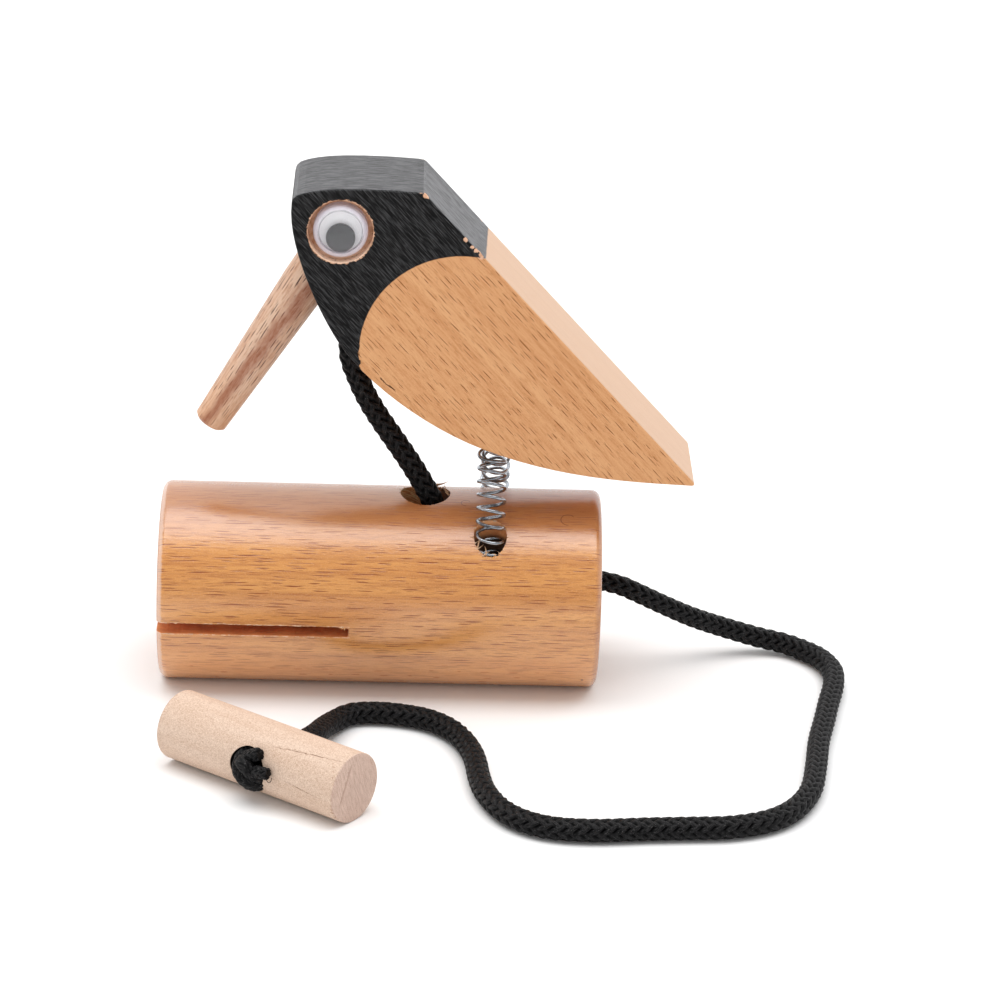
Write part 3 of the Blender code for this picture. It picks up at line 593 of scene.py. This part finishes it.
def spring_wire_points(side):
    """Points along the wire: a helix that runs out straight at both ends."""
    mouth, seat, up = spring_mouth(side), SPRING_SEATS[side], Vector((0.0, 0.0, 1.0))
    below_seat = seat - up * SPRING_OUTER_DIAMETER / 4
    reach = (below_seat - mouth).length / 3
    line = [mouth - up * MM_IN_LOG * MM]
    line += interpolate_bezier(mouth, mouth + up * reach, below_seat - up * reach,
                               below_seat, 40)
    line.append(seat + up * MM_IN_BIRD * MM)
    runs = [(b - a).length for a, b in zip(line, line[1:])]
    length = sum(runs)
    coil_radius = (SPRING_OUTER_DIAMETER - SPRING_WIRE) / 2
    across = Vector((1.0, 0.0, 0.0))
    spacing = math.tau * coil_radius / POINTS_PER_TURN
    steps = 2400
    points, turn, since = [], 0.0, spacing
    for k in range(steps + 1):
        at = length * k / steps
        rest, i = at, 0
        while i < len(runs) - 1 and rest > runs[i]:
            rest -= runs[i]
            i += 1
        direction = (line[i + 1] - line[i]).normalized()
        normal = across.cross(direction)
        here = line[i] + direction * rest + coil_radius * (math.cos(turn) * across
                                                           + math.sin(turn) * normal)
        since += (here - before).length if k else 0.0
        if since >= spacing:
            points.append(here)
            since = 0.0
        before = here
        share = clamp((min(at, length - at) - SPRING_WIRE) / SPRING_END_TURN)
        turn += math.tau * length / steps / SPRING_PITCH * share * share * (3 - 2 * share)
    return points


paint = Paint("drawn_steel")
x, y, z = paint.place()
scratch = paint.noise([x / 0.5, y / 0.5, z / 0.09], 2.0)
stain = paint.noise([x / 2.2 + 4, y / 2.2, z / 1.1], 3.0)
base = paint.mix(stain.step(0.4, 0.7), (168, 172, 178), (92, 94, 98))
drawn_steel = paint.finish(base, 0.1 + 0.2 * stain + 0.08 * scratch, scratch, 0.01 * MM,
                           [("Metallic", 1.0)])

for side in OUTWARDS:
    spring = tube("coil_spring_" + side, spring_wire_points(side), SPRING_WIRE / 2, 4, drawn_steel)
    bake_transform(spring)
    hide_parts("spring_" + side)


# Bird
# One sawn beech board with its long back along the grain. Its head is brushed with
# matt black paint down to a curved edge, and bare wood shows where that has chipped.

EYE = Vector((-10.1, 0.0, 109.0))
BREAST = (17.0, 0.0, 81.5)
BOARD_SIDE = 12.6
GRAIN_TURN = math.radians(47.3)

paint, base, uneven, relief = beech(
    "painted_beech", turn=(0.0, GRAIN_TURN, 0.0), origin=(0.0, 0.0, 0.0),
    light=(219, 165, 118), warm=(212, 155, 108), dark=(184, 120, 70), fleck=(112, 54, 14),
    roughness=0.42, cell=(5.6, 1.0), size=(4.6, 0.17), share=0.64)
x, y, z = paint.place()
u, v, w = paint.place((0.0, GRAIN_TURN, 0.0))
upwards = paint.facing()[2]
top, back = upwards.step(0.85, 0.97), upwards.step(0.3, 0.6)
# Painted sheen: faces that look upwards are painted paler and greyer.
base = paint.mix(back * 0.8, base, (203, 173, 149))
brushed = paint.noise([u / 3.4, v / 0.5, w / 0.17], 2.0, 0.6)
brushed = brushed * (1 - top) + top * paint.noise([x / 5, y / 0.5, 0.0], 3.0, 0.7)
edge = paint.noise([x / 1.3, y / 1.3, z / 1.3], 3.0, 0.65)
dust = paint.noise([x / 0.4, y / 0.4, z / 0.4], 2.0, 0.7)
from_breast = paint.distance((x, 0.0, z), BREAST)
ragged = 0.25 + 2.6 * z.step(86.0, 77.0)
painted = (from_breast + (edge - 0.5) * ragged + 0.026 * y).step(22.22, 22.42)
painted = painted * u.step(-52.0, -53.0)
from_eye = paint.distance((x, 0.0, z), EYE)
painted = painted * (from_eye + (edge - 0.5) * 0.8 + (dust - 0.5) * 1.3).step(7.25, 7.4)
peeled = paint.mix(edge.step(0.35, 0.65), (224, 180, 150), (200, 148, 116))
base = paint.mix(from_eye.step(7.9, 7.7), base, peeled)
# Painted light in the eye's recess: its up-facing wall and its lower part are painted paler, as
# lit.
base = paint.mix(from_eye.step(7.9, 7.7) * upwards.step(0.2, 0.6), base, (250, 214, 186))
base = paint.mix(from_eye.step(7.3, 7.1) * z.step(105.5, 103.0) * 0.8, base, (255, 222, 196))
base = paint.mix(from_eye.step(6.0, 5.8) * 0.9, base, (246, 240, 244))
for (ax, az), (bx, bz) in (((-0.9, 75.5), (0.7, 73.9)), ((0.5, 74.1), (2.5, 72.7))):
    span = math.hypot(bx - ax, bz - az)
    share = (x - ax) * ((bx - ax) / span ** 2) + (z - az) * ((bz - az) / span ** 2)
    off = (x - ax) * ((az - bz) / span) + (z - az) * ((bx - ax) / span) + (edge - 0.5) * 0.7
    split = abs(off).step(0.2, 0.08) * abs(share - 0.5).step(0.55, 0.4) * y.step(-11.0, -12.0)
    base = paint.mix(split * 0.9, base, (74, 38, 22))
for cx, cz, size in ((8.3, 117.7, 0.7), (7.4, 118.3, 0.3), (17.0, 107.9, 0.35),
                     (18.6, 106.3, 0.25), (19.6, 105.5, 0.4), (20.7, 104.6, 0.6)):
    far = paint.distance((x, abs(y), z), (cx, BOARD_SIDE, cz))
    painted = painted * (far + (edge - 0.5) * 1.8).step(size, size + 0.12)
    base = paint.mix(far.step(size + 0.6, size + 0.4), base, peeled)
coat = paint.mix(brushed.step(0.46, 0.64), (7, 7, 8), (64, 64, 65))
# Painted sheen: the black paint is painted light grey where it faces upwards, less on the flat
# top.
coat = paint.mix(back * (0.45 + 0.7 * brushed.step(0.38, 0.6)) * (1 - 0.4 * top), coat,
                 (118, 118, 120))
coat = paint.mix(dust.step(0.7, 0.8) * 0.3, coat, (150, 148, 146))
base = paint.mix(painted, base, coat)
rough = uneven * (1 - painted) + painted * (0.4 + 0.25 * brushed)
ridges = relief * (1 - painted) + painted * (3.2 * brushed + 0.5)
painted_beech = paint.finish(base, rough, ridges, 0.06 * MM,
                             [("Specular IOR Level", 0.12)])


def dress(name, material):
    """Give a piece that keeps its own mesh its material."""
    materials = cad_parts[name].data.materials
    materials.clear()
    materials.append(material)


dress("bird_body", painted_beech)


# Beak
# A beech dowel tapered on the lathe and glued into a bore in the chest. A darker,
# redder streak of heartwood runs down its underside.

BEAK_ROOT = Vector((-16.4, 0.0, 95.5)) * MM
BEAK_TURN = math.radians(57.9)

paint, base, uneven, relief = beech(
    "beak_beech", turn=(0.0, -BEAK_TURN, 0.0), origin=BEAK_ROOT,
    light=(217, 185, 161), warm=(208, 166, 139), dark=(166, 108, 74), fleck=(66, 24, 6),
    roughness=0.5, cell=(4.8, 1.05), size=(4.6, 0.28), share=0.66, curved=4.7, grain=0.5)
x, y, z = paint.place((0.0, -BEAK_TURN, 0.0), BEAK_ROOT)
around = y.math("ARCTAN2", y, z)
wander = paint.noise([x / 8, around / 0.8, 0.0], 3.0)
mottled = paint.noise([x / 1.6, around / 0.12, 4.0], 3.0, 0.7)
heart = abs(around + 1.81 + x * 0.0153 + 0.8 * (wander - 0.5)).step(0.5, 0.05)
base = paint.mix(x.step(-24.0, -43.0) * 0.4, base, (206, 146, 98))
base = paint.mix(heart * (0.35 + 0.9 * mottled), base, (150, 86, 54))
beak_beech = paint.finish(base, uneven, relief, 0.05 * MM)

dress("beak", beak_beech)


# Eyes
# Stick-on eyes, one in a drilled recess on each side: a clear moulded dome over a white
# backing disc, with a dark pupil that is loose between them.

paint = Paint("clear_dome")
x, y, z = paint.place(origin=EYE * MM)
haze = paint.noise([x / 2, y / 2, z / 2], 2.0)
from_middle = paint.distance((x, 0.0, z))
wall = from_middle.step(4.9, 5.15)
# Painted rim shade: a grey ring just inside the dome's wall, a little more opaque than the rest.
rim_shade_ring = abs(from_middle - 4.75).step(0.16, 0.04)
base = paint.mix(wall, (240, 240, 244), (232, 226, 236))
clear_dome = paint.finish(paint.mix(rim_shade_ring, base, (150, 146, 158)), 0.05 + 0.05 * haze,
                          plain=[("IOR", 1.32)])
paint.put(paint.shader.inputs["Alpha"], 0.07 + 0.45 * wall + 0.3 * rim_shade_ring * (1 - wall))

paint = Paint("white_backing")
x, y, z = paint.place()
haze = paint.noise([x / 3, y / 3, z / 3], 3.0)
white_backing = paint.finish(paint.mix(haze, (255, 255, 255), (248, 248, 252)), 0.5)

paint = Paint("dark_pupil")
x, y, z = paint.place()
haze = paint.noise([x / 1.5, y / 1.5, z / 1.5], 3.0)
# Painted shade and light: the pupil is painted darker towards its top and lighter towards its
# bottom.
base = paint.mix(z.step(110.0, 104.6) * 0.8 + 0.15 * haze, (16, 16, 17), (62, 62, 63))
dark_pupil = paint.finish(base, 0.3 + 0.1 * haze, plain=[("Specular IOR Level", 0.1)])

for side in OUTWARDS:
    dress("eye_dome_" + side, clear_dome)
    dress("eye_backing_" + side, white_backing)
    dress("pupil_" + side, dark_pupil)


# Cord
# One limp cord of black polyester, knitted round in five columns of V stitches. It is
# glued into the chest, runs through the log and lies on the table down to the handle.

STITCH = 2.6
STITCH_RELIEF = 0.9 * MM
LEGS = 10
SIDES = 60
ROUTE_STEP = 0.22 * MM
CORD_UPPER_RADIUS = 2.33 * MM
CORD_ON_TABLE_Z = 2.6
YARN_LEAN = math.radians(33)
CORD_UPPER_ROUTE = [(x, 0.0, z) for x, z in (
    (-7.9, 90.1), (-7.9, 85.5), (-7.9, 81.5), (-7.9, 78.0), (-7.5, 75.0), (-6.2, 71.5),
    (-4.7, 68.0), (-2.9, 64.6), (-0.8, 61.2), (1.5, 57.8), (3.9, 54.3), (6.2, 50.8),
    (8.4, 47.2), (10.3, 43.8), (11.9, 40.4), (12.5, 36.6), (12.5, 32.6), (12.4, 29.0))]
CORD_UPPER_ROUTE += [
    (12.8, 0.1, 25.6), (14.3, 0.2, 22.6), (17.0, 0.3, 20.7), (20.4, 0.4, 20.0), (24.0, 0.4, 20.0)]
CORD_TAIL_ROUTE = [
    (24.4, 0.4, 20.0), (30.0, 0.4, 20.0), (37.0, 0.6, 20.8), (44.0, 0.9, 22.0),
    (49.6, 1.1, 22.5), (54.8, 1.5, 21.3), (59.2, 2.3, 19.1), (65.6, 4.6, 15.2),
    (72.5, 8.0, 10.9), (80.0, 11.6, 7.0), (88.0, 13.1, 4.1), (94.0, 12.6, 2.9)]
CORD_TAIL_ROUTE += [(x, y, CORD_ON_TABLE_Z) for x, y in (
    (98.6, 9.4), (102.3, 4.6), (104.3, -2.0), (104.0, -9.6), (102.2, -18.5), (100.3, -28.5),
    (98.0, -40.3), (96.3, -53.0), (94.2, -64.6), (90.0, -74.1), (84.1, -80.2), (75.9, -83.6),
    (67.0, -84.6), (58.0, -85.4), (48.9, -86.5), (43.7, -86.6), (39.5, -86.2), (35.3, -84.9),
    (31.1, -82.2), (27.6, -78.0), (25.0, -72.4), (23.4, -67.0), (22.5, -60.8), (22.0, -55.1),
    (21.1, -49.4), (19.2, -43.2), (16.3, -38.0), (12.2, -34.0), (7.3, -31.7), (0.6, -30.4),
    (-5.6, -31.4))]
CORD_TAIL_ROUTE += [
    (-9.4, -36.2, 2.9), (-11.7, -43.0, 4.4), (-13.2, -50.4, 6.4), (-15.1, -55.6, 7.5),
    (-17.6, -58.9, 7.7), (-23.5, -66.6, 7.7)]

paint = Paint("knitted_cord")
across_yarn, along_yarn = paint.parts(paint.node("UVMap", uv_map="yarn"))[:2]
crest = paint.node("Attribute", output="Fac", attribute_name="crest")
filament = paint.noise([across_yarn * 6, along_yarn * 0.9, 0.0], 2.0, 0.6)
bundle = paint.noise([across_yarn * 1.3, along_yarn * 0.5, 3.0], 2.0)
glint = paint.noise([across_yarn * 9, along_yarn * 2.2, 8.0], 1.0)
# The grey filament lines are the yarn's fibres with painted sheen on them; the glints are painted
# highlights.
base = paint.mix(filament.step(0.42, 0.62), (4, 4, 5), (40, 39, 40))
base = paint.mix(bundle.step(0.6, 0.8) * 0.35, base, (52, 51, 51))
base = paint.mix(glint.step(0.66, 0.74) * 0.6, base, (132, 130, 128))
# Painted shade: the grooves between stitches are painted near black.
base = paint.mix(crest.step(0.9, 0.45), base, (1, 1, 2))
knitted_cord = paint.finish(base, 0.34 + 0.25 * filament, filament + 0.5 * bundle, 0.15 * MM,
                            [("Specular IOR Level", 0.12)])


def smooth_route(route, step):
    """Evenly spaced points, in metres, on a smooth curve through a route in millimetres."""
    knots = [Vector(point) * MM for point in route]
    fine = []
    for i in range(len(knots) - 1):
        before, after = knots[max(i - 1, 0)], knots[min(i + 2, len(knots) - 1)]
        a, b = knots[i], knots[i + 1]
        fine += interpolate_bezier(a, a + (b - before) / 6, b - (after - a) / 6, b, 24)[:-1]
    fine.append(knots[-1])
    length = sum((q - p).length for p, q in zip(fine, fine[1:]))
    count = round(length / step)
    points, run, k = [fine[0]], 0.0, 1
    for p, q in zip(fine, fine[1:]):
        stretch = (q - p).length
        while k < count and run + stretch >= length * k / count:
            points.append(p.lerp(q, (length * k / count - run) / stretch))
            k += 1
        run += stretch
    points.append(fine[-1])
    return points


def stitch_at(place, run, width, pitch):
    """The stitch that is highest at a spot: its height, the spot on it, and its lean."""
    best = (0.0, 0.0, 0.0, 0.0)
    first = math.floor(run / pitch)
    for leg in (math.floor(place) - 1, math.floor(place), math.floor(place) + 1):
        lean = YARN_LEAN if leg % 2 else -YARN_LEAN
        a = (place - leg - 0.5) * width
        for k in (first - 1, first, first + 1, first + 2):
            b = run - (k + 0.15 * (leg * 7 % 5)) * pitch
            lengthwise = b * math.cos(lean) + a * math.sin(lean)
            sideways = a * math.cos(lean) - b * math.sin(lean)
            inside = (1.0 - (lengthwise / (0.95 * pitch)) ** 2
                      - (sideways / (0.52 * width)) ** 2)
            height = math.sqrt(max(inside, 0.0)) * (1.0 - 0.3 * lengthwise / pitch)
            if height > best[0]:
                best = (height, lengthwise + 7.3 * k, sideways + 5.1 * leg, lean)
    return best


def knit(name, points, radii, relief=STITCH_RELIEF, pitch=STITCH, floor=None):
    """A knitted tube: its surface rises into V stitches, and its UV map follows the yarn.
    The corners of its caps go with the end rings, and the two merge."""
    made = tube(name, points, 1.0 * MM, (SIDES - 4) // 2, knitted_cord)
    mesh = made.data
    runs = [0.0]
    for p, q in zip(points, points[1:]):
        runs.append(runs[-1] + (q - p).length / MM)
    caps = 2 * SIDES
    end_rings = (mesh.vertices[-SIDES:], mesh.vertices[caps:caps + SIDES])
    seams = [(vertex, min(end_rings[vertex.index // SIDES],
                          key=lambda other: (other.co - vertex.co).length))
             for vertex in mesh.vertices[:caps]]
    crest = mesh.attributes.new("crest", "FLOAT", "POINT")
    for vertex in mesh.vertices[caps:]:
        ring = (vertex.index - caps) // SIDES
        width = math.tau * radii[ring] / MM / LEGS
        height = stitch_at(vertex.index % SIDES * LEGS / SIDES, runs[ring], width, pitch)[0]
        crest.data[vertex.index].value = height
        out = (vertex.co - points[ring]) / MM
        vertex.co = points[ring] + out * (radii[ring] + relief * (height - 0.75))
        if floor is not None and vertex.co.z < floor:
            vertex.co.z = floor
    for vertex, other in seams:
        vertex.co = other.co
    yarn = mesh.uv_layers.new(name="yarn")
    for face in mesh.polygons:
        corners = [mesh.loops[i].vertex_index - caps for i in face.loop_indices]
        if min(corners) < 0:
            face.use_smooth = False
            continue
        places = [c % SIDES for c in corners]
        if max(places) - min(places) > SIDES / 2:
            places = [p + SIDES if p < SIDES / 2 else p for p in places]
        middle = sum(places) / len(places) * LEGS / SIDES
        width = math.tau * radii[corners[0] // SIDES] / MM / LEGS
        run = sum(runs[c // SIDES] for c in corners) / len(corners)
        height, lengthwise, sideways, lean = stitch_at(middle, run, width, pitch)
        for corner, c, p in zip(face.loop_indices, corners, places):
            a, b = (p * LEGS / SIDES - middle) * width, runs[c // SIDES] - run
            yarn.data[corner].uv = (sideways + a * math.cos(lean) - b * math.sin(lean),
                                    lengthwise + b * math.cos(lean) + a * math.sin(lean))
    bm = bmesh.new()
    bm.from_mesh(mesh)
    bmesh.ops.remove_doubles(bm, verts=bm.verts, dist=TOUCHING)
    bm.to_mesh(mesh)
    bm.free()
    return made


upper_points = smooth_route(CORD_UPPER_ROUTE, ROUTE_STEP)
upper = knit("cord_in_chest", upper_points, [CORD_UPPER_RADIUS] * len(upper_points))
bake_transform(upper)
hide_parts("cord_upper")

tail_points = smooth_route(CORD_TAIL_ROUTE, ROUTE_STEP)
tail_radii = []
for k in range(len(tail_points)):
    share = k / len(tail_points)
    grown, shrunk = clamp((share - 0.12) / 0.12), clamp((share - 0.93) / 0.04)
    tail_radii.append((2.09 + 0.2 * grown - 0.15 * shrunk) * MM)
tail = knit("cord_to_handle", tail_points, tail_radii, floor=0.05 * MM)
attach(tail, "pull")
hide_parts("cord_tail")


# Pull handle
# A pale dowel, sawn off square, with the cord's bore through its middle and a pocket
# for the knot. It is left bare, so its pores, drying cracks and sawn fibres show.

HANDLE_RADIUS = 7.7 * MM
HANDLE_END = 24.5
HANDLE_TURN = math.radians(-37.8)
HANDLE_PLACE = (Matrix.Translation((-23.2 * MM, -64.3 * MM, HANDLE_RADIUS))
                @ Matrix.Rotation(HANDLE_TURN, 4, "Z"))
CORD_BORE_RADIUS = 2.75 * MM
POCKET_X = 1.1
POCKET_PLACE = HANDLE_PLACE @ Matrix.Translation((POCKET_X * MM, 0.0, 0.0))
POCKET_RADIUS = 4.7 * MM
POCKET_DEPTH = 5.7 * MM

paint = Paint("bare_maple")
x, y, z = paint.place((0.0, 0.0, HANDLE_TURN), HANDLE_PLACE.translation)
around = y.math("ARCTAN2", z, y) * (HANDLE_RADIUS / MM)
from_axis = paint.distance((0.0, y, z))
streak = paint.noise([x / 30, around / 4, 1.0], 4.0)
pore = paint.noise([x / 0.5, around / 0.3, from_axis / 0.4], 2.0, 0.6)
fibre = paint.noise([x / 5, around / 0.2, 0.0], 2.0, 0.6)
dashes = flecks(paint, x, around, (3.0, 0.8), (1.4, 0.18), 0.4)
base = paint.mix(streak.step(0.3, 0.7), (214, 188, 168), (204, 175, 153))
base = paint.mix(pore.step(0.45, 0.8) * 0.5, base, (176, 142, 118))
base = paint.mix(fibre.step(0.5, 0.8) * 0.3, base, (180, 144, 118))
base = paint.mix(dashes * 0.35, base, (158, 116, 90))
speckle = paint.noise([x / 0.25, around / 0.25, from_axis / 0.3], 2.0, 0.7)
base = paint.mix(speckle.step(0.5, 0.64) * 0.5, base, (238, 216, 196))
base = paint.mix(speckle.step(0.46, 0.34) * 0.45, base, (170, 136, 112))
end_face = abs(x).step(24.1, 24.4)
sawn = paint.noise([0.0, (y + 0.35 * z) / 0.35, z / 2.5], 3.0, 0.65)
scar = abs(y + 3.9 - 0.45 * z + 1.2 * (sawn - 0.5)).step(0.5, 0.1)
scar = scar * z.step(6.5, 5.0) * z.step(-3.5, -1.0)
cut_grain = paint.mix(sawn.step(0.3, 0.7), (208, 180, 165), (174, 142, 127))
cut_grain = paint.mix(speckle.step(0.4, 0.8) * 0.6, cut_grain, (222, 198, 184))
cut_grain = paint.mix(scar * 0.5, cut_grain, (140, 104, 88))
base = paint.mix(end_face * 0.85, base, cut_grain)
# Painted shade: wood that lies below the turned side, in cracks, chips and the bore, is painted
# darker.
base = paint.mix(from_axis.step(7.6, 7.2) * (1 - end_face) * 0.75, base, (128, 82, 60))
# Painted shade: the knot's pocket is painted near black.
pocket = paint.distance((x, 0.0, z), (POCKET_X, 0.0, 0.0)).step(5.1, 4.9)
base = paint.mix(pocket * from_axis.step(7.62, 7.4), base, (20, 14, 12))
bare_maple = paint.finish(base, 0.62 + 0.1 * pore,
                          pore + 0.5 * fibre - 0.5 * dashes + end_face * (sawn - scar), 0.06 * MM)

bm = bmesh.new()
bmesh.ops.create_cone(bm, cap_ends=True, segments=120, radius1=HANDLE_RADIUS,
                      radius2=HANDLE_RADIUS, depth=2 * HANDLE_END * MM,
                      matrix=HANDLE_PLACE @ Matrix.Rotation(math.radians(90), 4, "Y"))
rims = [edge for edge in bm.edges if any(len(face.verts) != 4 for face in edge.link_faces)]
bmesh.ops.bevel(bm, geom=rims, offset=0.3 * MM, segments=2, profile=0.5, affect="EDGES",
                material=-1)
handle = thing("handle_dowel", bm, bare_maple)
inwards = HANDLE_PLACE.to_3x3() @ Vector((0.0, 1.0, 0.0))
front = POCKET_PLACE @ Vector((0.0, -HANDLE_RADIUS, 0.0))
cut_out(handle, bit("cord_bit", front, inwards, CORD_BORE_RADIUS, 2.6 * HANDLE_RADIUS,
                    bare_maple))
cut_out(handle, bit("pocket_bit", front, inwards, POCKET_RADIUS, POCKET_DEPTH, bare_maple))
luck = random.Random(21)
handle_grain = HANDLE_PLACE.to_3x3() @ Vector((1, 0, 0))


def on_handle(along_it, angle, sink=0.0):
    """A point of the handle's side, millimetres from its middle and degrees up from its
    front, or as far below that as it is sunk."""
    turn, radius = math.radians(angle), HANDLE_RADIUS - sink
    return HANDLE_PLACE @ Vector((along_it * MM, -math.cos(turn) * radius,
                                  math.sin(turn) * radius))


def crack(name, start, end, start_angle, end_angle, seed):
    """A cutter for a drying crack: an uneven wedge that runs along the handle's side."""
    luck = random.Random(seed)
    bm = bmesh.new()
    rows, steps = [], 26
    for k in range(steps + 1):
        share = k / steps
        angle = start_angle + (end_angle - start_angle) * share + luck.uniform(-1.1, 1.1)
        wide = luck.uniform(0.5, 1.3) * math.sin(math.pi * clamp(share, 0.04, 0.96)) ** 0.5
        at = start + (end - start) * share
        rows.append([bm.verts.new(point) for point in (
            on_handle(at, angle - wide, -0.3 * MM), on_handle(at, angle + wide, -0.3 * MM),
            on_handle(at, angle, 0.4 * MM))])
    for near, far in zip(rows, rows[1:]):
        for i in range(3):
            bm.faces.new((near[i], near[i - 1], far[i - 1], far[i]))
    bm.faces.new(rows[0])
    bm.faces.new(reversed(rows[-1]))
    bmesh.ops.recalc_face_normals(bm, faces=bm.faces)
    return thing(name, bm, bare_maple)


cut_out(handle, crack("upper_crack", 6.0, 25.4, 49, 67, 3))
cut_out(handle, crack("lower_crack", 11.5, 21.5, 3, -6, 9))
spots = []
for k in range(54):
    at = HANDLE_END if k % 2 else -HANDLE_END
    spots.append((on_handle(at, luck.uniform(0, 360)), luck.uniform(0.2, 0.5) * MM,
                  handle_grain))
for start, end, start_angle, end_angle, count, size in (
        (10.0, 16.0, 54, 59, 5, 0.4), (22.0, 24.5, 58, 20, 6, 0.4),
        (24.1, 24.5, -20, -60, 7, 0.7), (-22, -20, 24, 22, 3, 0.3)):
    for k in range(count):
        share = k / (count - 1)
        angle = start_angle + (end_angle - start_angle) * share + luck.uniform(-1.5, 1.5)
        spots.append((on_handle(start + (end - start) * share, angle),
                      luck.uniform(0.6, 1.0) * size * MM, handle_grain))
chip_away(handle, "handle_chips", spots, bare_maple, 5)
turned_shading(handle.data, HANDLE_PLACE.translation, handle_grain)
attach(handle, "pull")
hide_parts("pull_handle")


# Knot
# The cord ends in a hard pulled knot that fills the handle's pocket. Its two cut ends,
# melted so that they can't fray, lie over the wood.

KNOT_STRANDS = [
    (1.7, [(0.8, 3.0, 3.0), (-1.2, 3.6, 3.4), (-3.1, 4.4, 2.2), (-3.7, 5.2, 0.2),
           (-3.1, 5.8, -1.9), (-1.4, 6.3, -3.3), (0.7, 6.3, -3.6), (2.5, 5.8, -2.9),
           (3.3, 4.4, -1.4)]),
    (1.55, [(-1.2, 4.2, 2.8), (-2.0, 6.4, 1.8), (-2.0, 7.6, 0.0), (-1.0, 8.2, -1.6),
            (0.8, 8.0, -2.4), (2.4, 7.0, -2.6), (3.3, 5.0, -2.0)]),
    (1.6, [(-2.2, 4.8, -1.2), (-1.4, 7.2, 0.8), (-0.2, 8.6, 1.6), (1.2, 8.8, 1.0),
           (2.2, 8.0, -0.4), (2.6, 6.4, -1.6)]),
    (1.35, [(-2.0, 5.2, 0.6), (-0.6, 6.8, 2.2), (0.8, 7.4, 3.1), (2.4, 7.6, 4.0),
            (3.7, 7.6, 4.6)]),
    (1.25, [(0.4, 6.0, -1.0), (2.2, 7.8, 0.0), (4.1, 8.8, 0.9), (5.8, 9.1, 1.3),
            (7.2, 9.0, 1.5)])]
KNOT_RELIEF = 0.6 * MM
KNOT_STITCH = 1.5
THREAD_RADIUS = 0.07 * MM
MELTED_END = (0.75, 0.9, 0.98)

strands = []
for i, (radius, route) in enumerate(KNOT_STRANDS):
    points = [POCKET_PLACE @ point
              for point in smooth_route([(a, -b, c) for a, b, c in route], 0.2 * MM)]
    radii = [radius * MM] * len(points)
    for k, share in enumerate(MELTED_END):
        radii[-1 - k] *= share
    strands.append(knit(f"knot_strand_{i}", points, radii, KNOT_RELIEF, KNOT_STITCH))
loose = [POCKET_PLACE @ (Vector((6.7 + 0.8 * math.cos(math.pi * k / 12), -8.4,
                                 0.4 - 1.3 * math.sin(math.pi * k / 12))) * MM)
         for k in range(13)]
strands.append(tube("loose_thread", loose, THREAD_RADIUS, 1, knitted_cord))
with bpy.context.temp_override(active_object=strands[0], selected_editable_objects=strands):
    bpy.ops.object.join()
knot = strands[0]
knot.name = knot.data.name = "pulled_knot"
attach(knot, "pull")
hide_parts("cord_knot")


# Studio
# A pale table, one large soft lamp overhead and a pale room. The camera stands where the
# photograph's did.

paint = Paint("pale_table")
x, y, z = paint.place()
weave = paint.noise([x / 9, y / 9, 0.0], 3.0)
table = paint.finish(paint.mix(weave, (248, 248, 248), (246, 246, 246)), 0.75 + 0.1 * weave)
bm = bmesh.new()
bmesh.ops.create_grid(bm, x_segments=1, y_segments=1, size=3.0)
floor = thing("table_top", bm, table)

lamp = bpy.data.lights.new("overhead_lamp", "AREA")
lamp.shape = "RECTANGLE"
lamp.size, lamp.size_y = 2.2, 1.2
lamp.energy = 23.5
show("overhead_lamp", lamp).location = (0.0, -0.04, 1.5)

room = Paint("pale_room", room=True)
bpy.context.scene.world = room.owner
direction = room.parts(room.node("TexCoord", output="Generated"))
mirrored = room.node("MapRange", [direction[1], -0.75, 0.3, 0.34, 1.4],
                     interpolation_type="SMOOTHSTEP")
ray = room.node("LightPath")
in_gloss = room.node("Math", [ray.other("Is Glossy Ray"), ray.other("Is Transmission Ray")],
                     operation="MAXIMUM")
strength = room.node("Mix", {0: in_gloss, 2: 0.73, 3: mirrored})
strength = room.node("Mix", {0: ray.other("Is Camera Ray"), 2: strength, 3: 1.0})
room.put(room.shader.inputs["Color"], (1.0, 1.0, 1.0, 1.0))
room.put(room.shader.inputs["Strength"], strength)

camera = bpy.data.cameras.new("camera")
camera.lens, camera.sensor_width = 144.0, 36.0
camera.clip_start, camera.clip_end = 0.05, 20.0
viewer = show("camera", camera)
right, up = Vector((0.99947, -0.01211, 0.03034)), Vector((-0.02365, 0.37234, 0.92780))
back = right.cross(up).normalized()
up = back.cross(right).normalized()
viewer.matrix_world = Matrix.Translation((0.006310, -0.840295, 0.378882)) @ Matrix(
    (right, up, back)).transposed().to_4x4()
bpy.context.scene.camera = viewer
bpy.context.scene.view_settings.view_transform = "Standard"
